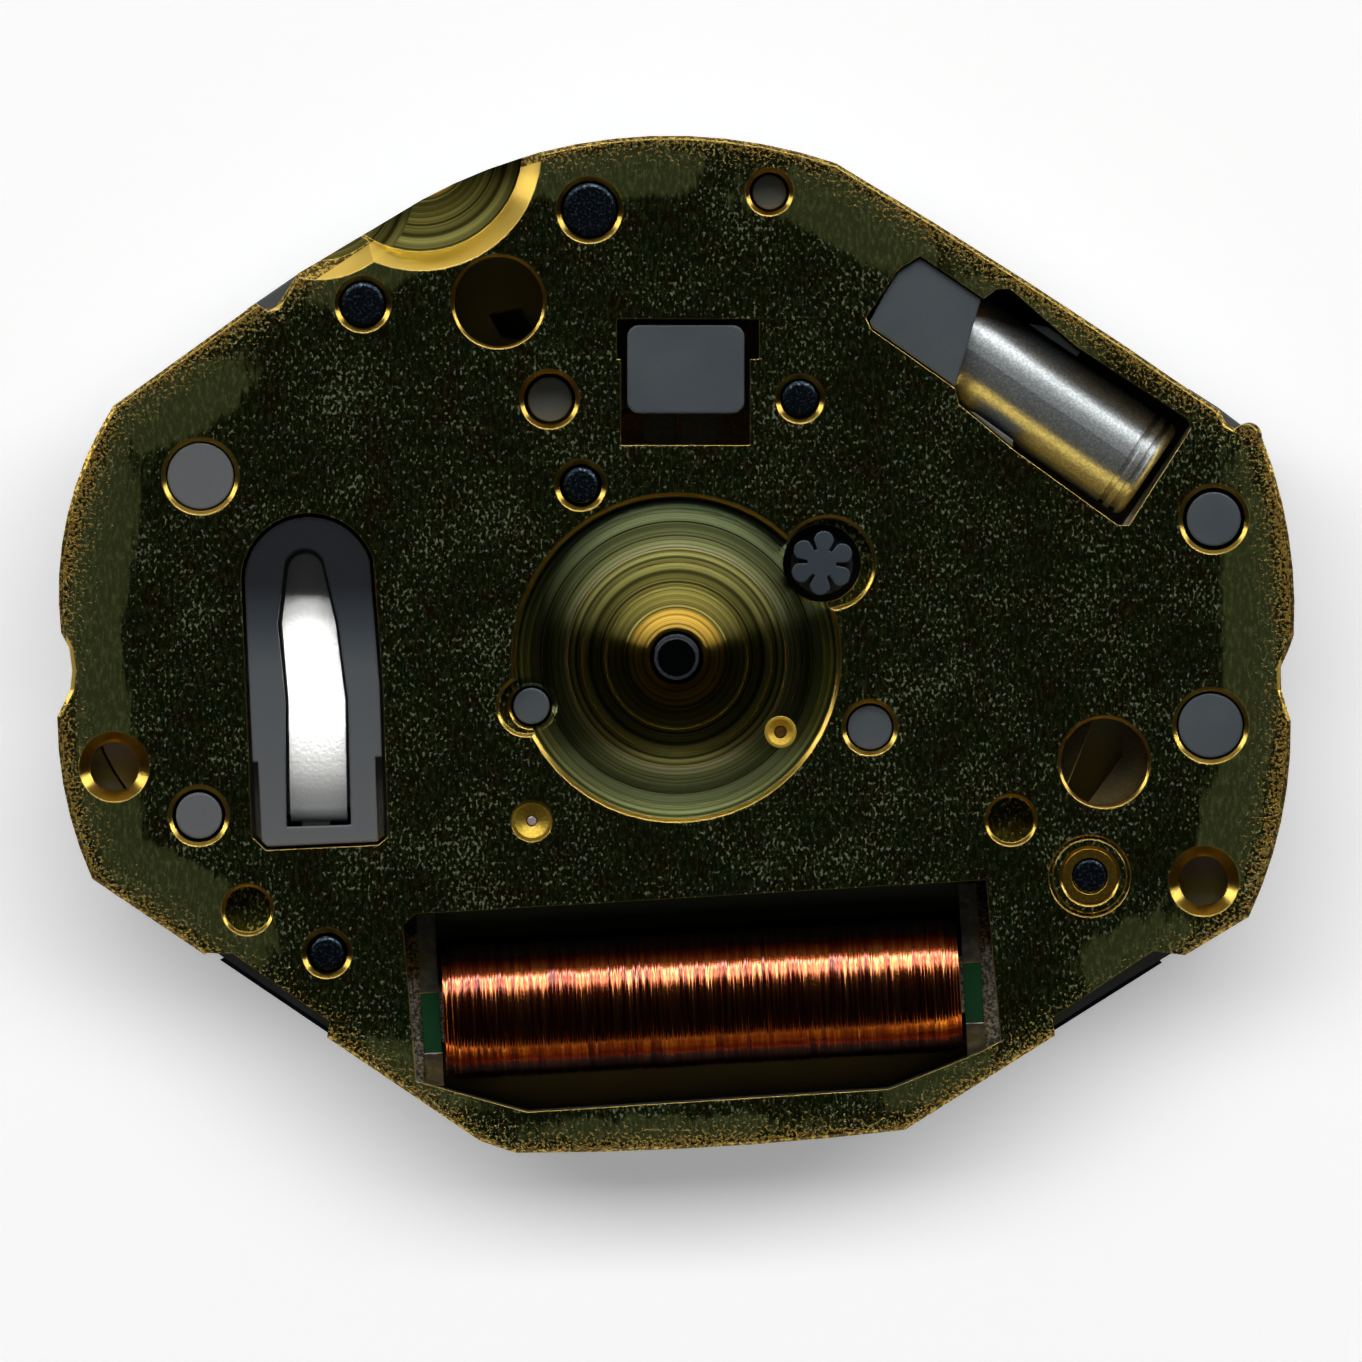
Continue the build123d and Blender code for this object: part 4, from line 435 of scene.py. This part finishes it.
def plate_regions(tree, place):
    """Masks of the plate's kinds of surface, and measures on it, by name."""
    flat = add(tree, "VectorMath", [place, (1.0, 1.0, 0.0)], operation="MULTIPLY")
    true_normal = add(tree, "NewGeometry", output="True Normal")
    facing = add(tree, "SeparateXYZ", [true_normal], "Z")
    upward = add(tree, "Math", [facing, upward_from], operation="GREATER_THAN")
    high = add(tree, "Math", [add(tree, "SeparateXYZ", [place], "Z"), face_floor], operation="GREATER_THAN")
    face = add(tree, "Math", [upward, high], operation="MULTIPLY")
    sunk = add(tree, "Math", [upward, face], operation="SUBTRACT")
    level = add(tree, "Math", [facing, level_from], operation="GREATER_THAN")
    turned, outward, distance = turned_floors(tree, flat, sunk, level)
    brushed = add(tree, "Math", [level, turned], operation="SUBTRACT", use_clamp=True)
    depth = edge_depth(tree, flat)
    band_depth = add(tree, "Math", [depth, band_reach], operation="DIVIDE")
    return SimpleNamespace(flat=flat, true_normal=true_normal, face=face, brushed=brushed, turned=turned,
                           outward=outward, distance=distance, depth=depth, band_depth=band_depth)


print("regions: what is lower than", face_floor, "mm counts as sunk")

# %% [markdown]
# ## The plate's brushed face
# The plate is stamped from brass, brushed from 12 to 6 o'clock and then gilded very thinly. Brushing leaves long
# fine scratches along one direction, and years leave a mottled green tarnish between them with brown stains and
# pale specks. Each of these is a noise of its own size, stretched along the brushing where the brush made it.
# Under all of them the face is a near-black olive. That is painted shade: the dark above that the flat brass
# mirrors, painted into its colour as well.

# %% Brushed face
scratch_size = (0.030, 1.2)  # width and length in mm; drawn three times as coarse as real ones, which would not show
crumb_size = (0.045, 0.070)  # mm, the pale specks
mottle_size = (0.055, 0.15)  # mm, the tarnish between the scratches
speck_clouds = 1.1           # mm; the specks stand closer together in some places than in others
stain_size = 0.5             # mm
gold_grain_size = 0.05       # mm, the grains of gold along the rim


def face_noise(tree, flat, size, detail, roughness):
    """A noise on the face with its own width and length in mm."""
    stretched = add(tree, "Mapping", {"Vector": flat, "Scale": (1 / size[0], 1 / size[1], 1.0)})
    return add(tree, "TexNoise", {"Vector": stretched, "Scale": 1.0, "Detail": detail, "Roughness": roughness})


def specks(tree, flat):
    """Pale specks, in loose clouds."""
    grain = face_noise(tree, flat, crumb_size, 2.0, 0.6)
    cloud = add(tree, "TexNoise", {"Vector": flat, "Scale": 1 / speck_clouds, "Detail": 3.0})
    cloud = add(tree, "Math", [cloud, 0.30], operation="MULTIPLY")
    cover = add(tree, "Math", [grain, cloud], operation="ADD")
    return add(tree, "ValToRGB", [cover], stops=[(0.73, 0.0), (0.81, 1.0)])


def rim_grains(tree, gold_grain, band_depth):
    """Grains of bright gold, close together at the edge and few further in."""
    rim = add(tree, "ValToRGB", [band_depth], stops=over(band_reach, [(0.0, 0.62), (0.2, 0.50), (0.8, 0.34)]))
    cover = add(tree, "Math", [gold_grain, rim], operation="MULTIPLY")
    return add(tree, "ValToRGB", [cover], stops=[(0.27, 0.0), (0.33, 1.0)])


def plate_patterns(tree, place, on):
    """What brushing, turning, handling and time made on the plate, each as a share from 0 to 1, by name."""
    ring = add(tree, "TexNoise", {"W": on.distance, "Scale": 1 / ring_pitch, "Detail": 5.0, "Roughness": 0.75},
               noise_dimensions="1D")
    gold_grain = add(tree, "TexNoise", {
        "Vector": place, "Scale": 1 / gold_grain_size, "Detail": 2.0, "Roughness": 0.6})
    return SimpleNamespace(
        scratch=face_noise(tree, on.flat, scratch_size, 3.0, 0.6), ring=ring, speck=specks(tree, on.flat),
        gold_grain=gold_grain, rim_grain=rim_grains(tree, gold_grain, on.band_depth), worn=worn_share(tree, on))


def face_colour(tree, on, made):
    """Near-black olive as painted shade, with green tarnish, stains and specks, olive where the gilding is worn, and
    gold grains along the rim.
    """
    mottle = face_noise(tree, on.flat, mottle_size, 4.0, 0.7)
    mottle = add(tree, "ValToRGB", [mottle], stops=[(0.48, 0.0), (0.72, 1.0)])
    stain = add(tree, "TexNoise", {"Vector": on.flat, "Scale": 1 / stain_size, "Detail": 5.0, "Roughness": 0.7})
    stain = add(tree, "ValToRGB", [stain], stops=[(0.46, 0.0), (0.62, 1.0)])
    # the near-black olive between the scratches is painted shade: the dark above, which the flat brass mirrors,
    # painted into its colour too
    colour = add(tree, "Mix", [made.scratch, ink("#1e2a0c"), ink("#3c4c22")], data_type="RGBA")
    rubbed = add(tree, "Mix", [mottle, ink("#434a26"), ink("#707648")], data_type="RGBA")
    for share, shade in ((stain, ink("#3c2e12")), (mottle, ink("#6c7444")), (made.speck, ink("#a2ae84")),
                         (made.worn, rubbed), (made.rim_grain, ink("#b08a3a"))):
        colour = add(tree, "Mix", [share, colour, shade], data_type="RGBA")
    return colour


print("face: scratches of", scratch_size[0], "mm, specks of", crumb_size[0], "mm")

# %% [markdown]
# ## The plate's material
# Scratches spread a reflection across themselves and not along, which is what the shader's anisotropy does, with the
# tangent across the scratches: to the side on the brushed face, and outwards on the turned floors. The edges of the
# windows and holes are burnished to gold. The Bevel node finds them: where the normal that it bends differs from
# the true one, there is an edge. Tarnish is a thin film of oxide, so it takes some of the metal's shine away.

# %% Brass plate material
edge_rounding = 0.025        # mm
stamped_edge = 0.13          # mm from the outline, the plate's own edge, where the gilding is dull
scratch_depth = 0.008        # mm
ring_relief = 0.004          # mm; a turned floor is almost flat
rim_grain_height = 0.010     # mm


def plate_colour(tree, on, made, rounded):
    """Gilt on the walls, dull along the stamped edge, with the face, the turned floors and burnished edges on it."""
    bent = add(tree, "VectorMath", [rounded, on.true_normal], "Value", operation="DOT_PRODUCT")
    burnished = add(tree, "ValToRGB", [bent], stops=[(0.93, 0.8), (0.995, 0.0)])
    burnished = add(tree, "Math", [burnished, on.turned], operation="SUBTRACT", use_clamp=True)
    dull = add(tree, "ValToRGB", [made.gold_grain], stops=[(0.48, 1.0), (0.60, 0.3)])
    at_edge = add(tree, "Math", [on.depth, stamped_edge], operation="LESS_THAN")
    dull = add(tree, "Math", [at_edge, dull], operation="MULTIPLY")
    colour = add(tree, "Mix", [dull, ink("#e0bc58"), ink("#4a3c1c")], data_type="RGBA")
    for share, shade in ((on.brushed, face_colour(tree, on, made)), (on.turned, turned_colour(tree, on, made)),
                         (burnished, ink("#e8c468"))):
        colour = add(tree, "Mix", [share, colour, shade], data_type="RGBA")
    return colour


def film(tree, on, made):
    """How much tarnish or worn film hides the metal, from 0 to 1."""
    cover = 0.15
    for pattern, most in ((made.speck, 0.50), (made.worn, 0.62), (made.rim_grain, 0.50)):
        hidden = add(tree, "Math", [pattern, most], operation="MULTIPLY")
        cover = add(tree, "Math", [cover, hidden], operation="MAXIMUM")
    return add(tree, "Math", [cover, on.brushed], operation="MULTIPLY")


def plate_normal(tree, on, made, rounded):
    """Rounded edges and leaning floors, with scratches, rings and grains raised on them."""
    normal = add(tree, "Mix", [on.turned, rounded, add(tree, "NewGeometry", output="Normal")], data_type="VECTOR")
    normal = add(tree, "VectorMath", [normal, floor_fall(tree, on)], operation="ADD")
    normal = add(tree, "VectorMath", [normal], operation="NORMALIZE")
    for pattern, region, relief in ((made.scratch, on.brushed, scratch_depth), (made.ring, on.turned, ring_relief),
                                    (made.rim_grain, on.brushed, rim_grain_height)):
        height = add(tree, "Math", [pattern, region], operation="MULTIPLY")
        normal = add(tree, "Bump", {"Height": height, "Distance": relief * mm, "Normal": normal})
    return normal


def brass_plate():
    """Brushed and gilded brass, worn, with turned and milled rings below the dial face."""
    material, tree, shader, place = start("brass, brushed and gilded", {"Metallic": 1.0, "Anisotropic": 1.0})
    on = plate_regions(tree, place)
    made = plate_patterns(tree, place, on)
    rounded = add(tree, "Bevel", {"Radius": edge_rounding * mm}, samples=4)
    rough = add(tree, "Mix", [on.turned, 0.30, 0.33])
    rough = add(tree, "Mix", [made.worn, rough, 0.62])
    grainy = add(tree, "Math", [made.rim_grain, on.brushed], operation="MULTIPLY")
    join(shader, {
        "Base Color": plate_colour(tree, on, made, rounded),
        "Metallic": add(tree, "Math", [1.0, film(tree, on, made)], operation="SUBTRACT"),
        "Roughness": add(tree, "Mix", [grainy, rough, 0.50]),
        "Normal": plate_normal(tree, on, made, rounded),
        "Tangent": add(tree, "Mix", [on.turned, (1.0, 0.0, 0.0), on.outward], data_type="VECTOR")})
    return material


dress(brass_plate(), "main_plate")
print("plate dressed")

# %% [markdown]
# ## Plastics
# Frame and insulator are injection moulded from glass-filled plastic, the spacer is stamped from a sheet, and the
# boards, the chip's drop and the tape are resin too. A mould leaves a fine even grain and no direction. Moulded
# edges are never sharp, and a shader can round them by bending the light there, which the Bevel node does. Grain
# and edges are one function and the colour another, because two of the pieces have colours of their own kind.

# %% Plastics


def resin(name, roughness, grain_mm=0.03, grain_depth=0.002, edge_mm=0.03):
    """A plastic with an even fine grain and soft edges, still without its colour."""
    material, tree, shader, place = start(name, {"Roughness": roughness, "IOR": 1.53})
    grain = add(tree, "TexNoise", {"Vector": place, "Scale": 1 / grain_mm, "Detail": 2.0})
    rounded = add(tree, "Bevel", {"Radius": edge_mm * mm}, samples=4)
    join(shader, {"Normal": add(tree, "Bump", {
        "Height": grain, "Distance": grain_depth * mm, "Normal": rounded})})
    return material, tree, shader, place


def flowed(tree, place, hex_colour, pale_hex):
    """A colour with a faint paler cloud where the resin flowed."""
    flow = add(tree, "TexNoise", {"Vector": place, "Scale": 0.9, "Detail": 2.0})
    share = add(tree, "ValToRGB", [flow], stops=[(0.35, 0.0), (0.75, 1.0)])
    return add(tree, "Mix", [share, ink(hex_colour), ink(pale_hex)], data_type="RGBA")


def moulded(name, hex_colour, pale_hex, roughness, **surface):
    """A plastic of one colour, faintly clouded."""
    material, tree, shader, place = resin(name, roughness, **surface)
    join(shader, {"Base Color": flowed(tree, place, hex_colour, pale_hex)})
    return material


# matt black or near black, with a grain that only shows where light grazes it
dress(moulded("black polyester sheet, stamped", "#0b1020", "#12182c", 0.4), "circuit_spacer")
dress(moulded("nylon gasket, moulded", "#1c1d20", "#26272a", 0.5), "cell_gasket")
# slippery and slightly waxy, so its leaves have soft highlights
dress(moulded("acetal wheel, moulded", "#333d44", "#3f4950", 0.42), "minute_wheel")
# a drop that set while it was liquid, smooth and glossy
dress(moulded("epoxy drop, cast", "#08080a", "#101014", 0.25, grain_mm=0.2), "ic_chip")
# the weave of the glass cloth shows faintly through the lacquer
dress(moulded("epoxy glass board with green mask", "#0b4a30", "#0f5a3a", 0.4, grain_mm=0.1),
      "coil_end_boards", "circuit_board")
dress(moulded("polyester tape, amber", "#8c6a2c", "#9c7a3a", 0.4), "coil_core_tape")
print("plastics of one colour dressed")

# %% [markdown]
# ## Frame and insulator
# The frame is blue-grey. What faces up deep inside it is painted olive, a painted shade for the dim light that
# reaches down there. The insulator's sheet carries painted shade too: near black at its deep upper end and paler
# grey at the lower one. Both shades follow places on the pieces themselves, so they look the same from every side.

# %% Frame and insulator
# painted shade by depth: the olive stands in for the dim light deep inside the frame
deep_tone_from, deep_tone_to = -0.8, -1.3                # mm below the dial face, where the olive begins and is full
sheet_low_px, sheet_high_px = 850, 520           # the insert's lower and upper ends in the photograph
posts_end_px = 236                               # what lies left of this is the sheet's posts, which stay pale


def deep_frame():
    """Blue-grey plastic with painted shade: olive on what faces up deep inside."""
    material, tree, shader, place = resin("glass-filled polyester, moulded", 0.5, edge_mm=0.05)
    height = add(tree, "SeparateXYZ", [place], "Z")
    deep = add(tree, "MapRange", {"Value": height, "From Min": deep_tone_from, "From Max": deep_tone_to})
    facing = add(tree, "SeparateXYZ", [add(tree, "NewGeometry", output="True Normal")], "Z")
    upward = add(tree, "Math", [facing, 0.5], operation="GREATER_THAN")
    share = add(tree, "Math", [deep, upward], operation="MULTIPLY")
    clean = flowed(tree, place, "#474f55", "#545b60")
    # the olive share is painted shade, by depth
    join(shader, {"Base Color": add(tree, "Mix", [share, clean, ink("#555842")], data_type="RGBA")})
    return material


def shaded_insert():
    """Grey plastic with painted shade, dark at the sheet's upper end."""
    material, tree, shader, place = resin("polyester sheet, moulded", 0.5, edge_mm=0.05)
    low, high = at((0, sheet_low_px)).y / mm, at((0, sheet_high_px)).y / mm
    share = add(tree, "MapRange", {
        "Value": add(tree, "SeparateXYZ", [place], "Y"), "From Min": low, "From Max": high})
    beside_posts = add(tree, "Math", [add(tree, "SeparateXYZ", [place], "X"), at((posts_end_px, 0)).x / mm],
                       operation="GREATER_THAN")
    share = add(tree, "Math", [share, beside_posts], operation="MULTIPLY")
    # painted shade: the colour darkens towards the sheet's upper end
    join(shader, {"Base Color": add(tree, "ValToRGB", [share], stops=[
        (0.0, ink("#6c6e70")), (0.55, ink("#5a6064")), (0.68, ink("#363e46")), (0.80, ink("#0b1018"))])})
    return material


dress(deep_frame(), "middle_frame")
dress(shaded_insert(), "battery_insulator")
print("frame and insulator dressed")

# %% [markdown]
# ## Metals
# One function makes every metal. What differs is how it was made: polishing leaves a low roughness, blasting a high
# one with pale specks, turning and stamping something between. Where a matt film or a fine blast scatters the light,
# the metal is set a little less metallic. The battery's strip is bowed in real life by more than its solid shows, so
# it leans towards 12 o'clock.

# %% Metals
speck_softness = 0.08


def metal(name, hex_colour, roughness, pattern_mm, depth, speck_hex, speck_from=0.55, edge_mm=0.02,
          metallic=1.0, bow=0.0):
    """A metal with a fine uneven surface and specks of another shade. A bow leans it to 12 o'clock."""
    material, tree, shader, place = start(name, {"Metallic": metallic, "Roughness": roughness})
    noise = add(tree, "TexNoise", {"Vector": place, "Scale": 1 / pattern_mm, "Detail": 3.0})
    share = add(tree, "ValToRGB", [noise], stops=[
        (speck_from - speck_softness, 0.0), (speck_from + speck_softness, 1.0)])
    rounded = add(tree, "Bevel", {"Radius": edge_mm * mm}, samples=4)
    if bow:
        rounded = add(tree, "VectorMath", [rounded, (0.0, bow, 0.0)], operation="ADD")
        rounded = add(tree, "VectorMath", [rounded], operation="NORMALIZE")
    join(shader, {
        "Base Color": add(tree, "Mix", [share, ink(hex_colour), ink(speck_hex)], data_type="RGBA"),
        "Normal": add(tree, "Bump", {"Height": noise, "Distance": depth * mm, "Normal": rounded})})
    return material


# nickel, blasted; its near-white, part-matt colour is partly a painted highlight, the white gleam down the strip
dress(metal("spring steel, nickel plated and blasted", "#fbfaf6", 0.40, 0.05, 0.004, "#ffffff",
            metallic=0.6, bow=0.16), "minus_contact")
# warm grey, softly shiny
dress(metal("spring steel, nickel plated", "#dedcd6", 0.35, 0.05, 0.002, "#f0eeea"),
      "plus_contact", "setting_spring")
# smooth and bright
dress(metal("drawn steel, nickel plated", "#cfcfcd", 0.22, 0.2, 0.001, "#dcdcda"), "cell_can", "cell_cap")
# dull grey with pale specks, because it was blasted clean after its heat treatment
dress(metal("soft iron, annealed and blasted", "#6a6a66", 0.5, 0.035, 0.012, "#d2d0ca", 0.5),
      "coil_core", "stator")
# silvery, with the uneven skin of metal that set where it flowed
dress(metal("tin solder, flowed", "#a9adb2", 0.3, 0.12, 0.01, "#c9ccd0"),
      "coil_end_pads", "solder_joints", "crystal_leads")
# blue-black from the hardening, with worn specks
dress(metal("turned steel, hardened", "#2c3844", 0.30, 0.04, 0.004, "#7c8c98", 0.60, edge_mm=0.06),
      "coil_screws", "frame_pillars", "bridge_pillars", "cover_screws", "bridge_screws", "lever_pin", "spring_screw")
# even and bright, as rolled sheet is
dress(metal("stainless steel, stamped", "#b9bab8", 0.3, 0.06, 0.001, "#c6c7c5"), "circuit_cover")
dress(metal("stamped steel, deburred", "#a5a6a4", 0.28, 0.05, 0.001, "#b5b6b4"),
      "setting_wheel", "clutch_wheel", "setting_lever", "yoke")
# a grey skin of tin, cloudy where it was handled
dress(metal("drawn can, tinned", "#a4aaac", 0.40, 0.035, 0.002, "#c4c8c8", 0.52, metallic=0.8), "crystal_can")
print("steels, iron and tin dressed")

# %% [markdown]
# ## Brass, pinions and the magnet
# Brass is stamped, turned or cut, and each leaves its own shine. Pinions are polished so that their leaves slide,
# and the ends of their pivots are burnished. The small pale dots that show in the bushes are partly that burnish
# and partly a painted highlight, because the pinions that end there are given a pale pink-white colour.

# %% Brass, pinions and magnet
dress(metal("gilded brass, stamped", "#b08d3c", 0.32, 0.04, 0.002, "#c7a552"), "train_bridge")
dress(metal("turned brass", "#c69a38", 0.3, 0.04, 0.002, "#d9b455"), "coil_tubes", "cover_tubes", "lever_collar")
# matt yellow cups with a soft gleam on the side away from the lamp
dress(metal("bush brass, turned and blasted", "#d8b23c", 0.42, 0.04, 0.002, "#e6c452", metallic=0.55), "third_bush")
dress(metal("bush brass, turned", "#a08428", 0.42, 0.04, 0.002, "#b89a38", metallic=0.7), "rotor_bush")
# cut first and gilded after, so the wheels are the brightest of the brass
dress(metal("gilded brass, cut", "#cda548", 0.26, 0.04, 0.001, "#d9b55c"),
      "centre_wheel", "third_wheel", "intermediate_wheel")
# dark mirrors with sharp highlights
dress(metal("pinion steel, polished", "#3c4046", 0.20, 0.05, 0.001, "#484c52"),
      "centre_arbor", "cannon_pinion", "intermediate_pinion")
# burnished steel; its pale pink-white colour is partly a painted highlight, for the glint off the pivot ends
dress(metal("pinion steel, burnished", "#dcc8cc", 0.35, 0.05, 0.001, "#f0e0e4", metallic=0.6),
      "third_pinion", "rotor_pinion")
# pressed powder, dark and dull
dress(metal("magnet alloy, sintered", "#4a4a4c", 0.5, 0.03, 0.004, "#5c5c5e"), "rotor_magnet")
print("brass, pinions and magnet dressed")

# %% [markdown]
# ## Ruby, glass and quartz
# The rotor turns in a synthetic ruby. The crystal's can is closed by a bead of sealing glass, and inside it is a
# fork of clear etched quartz.

# %% Clear pieces


def clear(name, hex_colour, ior, roughness):
    """A clear material whose faint clouding comes from noise."""
    material, tree, shader, place = start(name, {
        "Base Color": ink(hex_colour), "IOR": ior, "Transmission Weight": 0.85})
    cloud = add(tree, "TexNoise", {"Vector": place, "Scale": 6.0})
    join(shader, {"Roughness": add(tree, "ValToRGB", [cloud], stops=[(0.3, roughness), (0.8, roughness + 0.1)])})
    return material


dress(clear("synthetic ruby, polished", "#a00f24", 1.76, 0.05), "rotor_jewel")
dress(clear("sealing glass", "#26322c", 1.52, 0.1), "crystal_header")
dress(clear("quartz, etched", "#e4e6ee", 1.54, 0.12), "crystal_fork")
print("clear pieces dressed")

# %% [markdown]
# ## The coil
# Some thousands of turns of enamelled copper wire, each thinner than a hair, lie side by side on the iron core. Each
# turn catches the lamp a little differently, because it lies a little higher or lower than its neighbours, so the
# highlight along the coil has ragged edges. A bump pattern could fake that, but the ragged outline at the coil's ends
# and rim would be missing, so the outer layer is built turn by turn. A real turn is about 0.02 mm wide and would
# vanish between two pixels, so the turns are drawn about twice as wide.

# %% Turns of the coil
coil_centre = at((702, 1000), -1.15 * mm)
coil_tilt = radians(3.2)
coil_length = 7.33 * mm
coil_radius = 0.97 * mm
wire_pitch = 0.045 * mm
wire_ridge = 0.013 * mm
wire_unevenness = 0.010 * mm
sinking_turns = 4            # turns at each end that slip down a little
sinking = 0.05 * mm
turn_points = 4              # rings of points for each turn
round_points = 96            # points round the coil


def turn_rings():
    """Rings of points along the coil: each one's place along it, radius, and how and where it is out of round."""
    rng = random.Random(7)
    turns = round(coil_length / wire_pitch)
    rings = []
    for i in range(turns):
        lift = rng.uniform(-1, 0) * wire_unevenness
        sway = rng.uniform(0, 1) * wire_unevenness
        phase = rng.uniform(0, 2 * pi)
        end_drop = max(0.0, 1 - min(i, turns - 1 - i) / sinking_turns) * sinking
        for j in range(turn_points):
            along = -coil_length / 2 + (i + j / turn_points) * coil_length / turns
            ridge = sin(pi * j / turn_points) * wire_ridge
            radius = coil_radius - wire_ridge - wire_unevenness + lift + ridge - end_drop
            rings.append((along, radius, sway, phase))
    print("coil of", turns, "turns")
    return rings


def wound_layer(rings):
    """The outer layer of the coil as one closed skin: a ridge for every turn, and two flat ends."""
    points = []
    for along, radius, sway, phase in rings:
        for k in range(round_points):
            angle = 2 * pi * k / round_points
            r = radius + sway * cos(2 * angle + phase)
            points.append((along, r * cos(angle), r * sin(angle)))
    faces = []
    for i in range(len(rings) - 1):
        for k in range(round_points):
            a, b = i * round_points + k, i * round_points + (k + 1) % round_points
            faces.append((a, b, b + round_points, a + round_points))
    faces.append(tuple(reversed(range(round_points))))
    faces.append(tuple(range(len(points) - round_points, len(points))))
    mesh = bpy.data.meshes.new("wound_wire")
    mesh.from_pydata(points, [], faces)
    mesh.polygons.foreach_set("use_smooth", [True] * len(faces))
    mesh.transform(Matrix.Translation(coil_centre) @ Matrix.Rotation(coil_tilt, 4, "Z"))
    mesh.update()
    made = bpy.data.objects.new("wound_wire", mesh)
    bpy.context.scene.collection.objects.link(made)
    print("skin of", len(faces), "faces")
    return made


winding = wound_layer(turn_rings())
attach(winding, "movement")
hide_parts("coil_winding")

# %% [markdown]
# ## The wire's enamel
# The copper glows red-brown through its clear enamel, which adds a sharper shine of its own, as a coat does in the
# shader. Its shade changes from turn to turn and hardly along a turn, so the noise is one turn wide and long round
# the coil. The same noise leans each turn a little up or down, which frays the highlight.

# %% Enamelled copper
shade_stretch = 0.8          # the noise's scale round the coil, against one per turn along it
turn_lean = 0.28
wire_relief = 0.006 * mm


def enamelled_copper():
    """Copper wire under a clear brown enamel: each turn has its own shade and leans its own way."""
    material, tree, shader, place = start("enamelled copper wire, wound", {
        "Metallic": 1.0, "Roughness": 0.20, "Coat Weight": 1.0, "Coat Roughness": 0.12})
    moved = add(tree, "VectorMath", [place, coil_centre / mm], operation="SUBTRACT")
    straight = add(tree, "VectorRotate", {"Vector": moved, "Angle": -coil_tilt}, rotation_type="Z_AXIS")
    across = add(tree, "Mapping", {
        "Vector": straight, "Scale": (mm / wire_pitch, shade_stretch, shade_stretch)})
    shade = add(tree, "TexNoise", {"Vector": across, "Scale": 1.0, "Detail": 3.0})
    colour = add(tree, "ValToRGB", [shade], stops=[
        (0.3, ink("#4a0e02")), (0.5, ink("#963c0c")), (0.75, ink("#cc8844"))])
    lean = add(tree, "Math", [shade, 0.5], operation="SUBTRACT")
    lean = add(tree, "Math", [lean, turn_lean], operation="MULTIPLY")
    leaning = add(tree, "VectorMath", [
        add(tree, "NewGeometry", output="Normal"), add(tree, "CombineXYZ", {"Y": lean})], operation="ADD")
    leaning = add(tree, "VectorMath", [leaning], operation="NORMALIZE")
    bumped = add(tree, "Bump", {"Height": shade, "Distance": wire_relief, "Normal": leaning})
    join(shader, {"Base Color": colour, "Normal": bumped, "Coat Normal": leaning})
    return material


winding.data.materials.append(enamelled_copper())
print("coil dressed")

# %% [markdown]
# ## Last settings
# The Standard view shows colours as they are written.

# %% Finish
bpy.context.scene.view_settings.view_transform = "Standard"
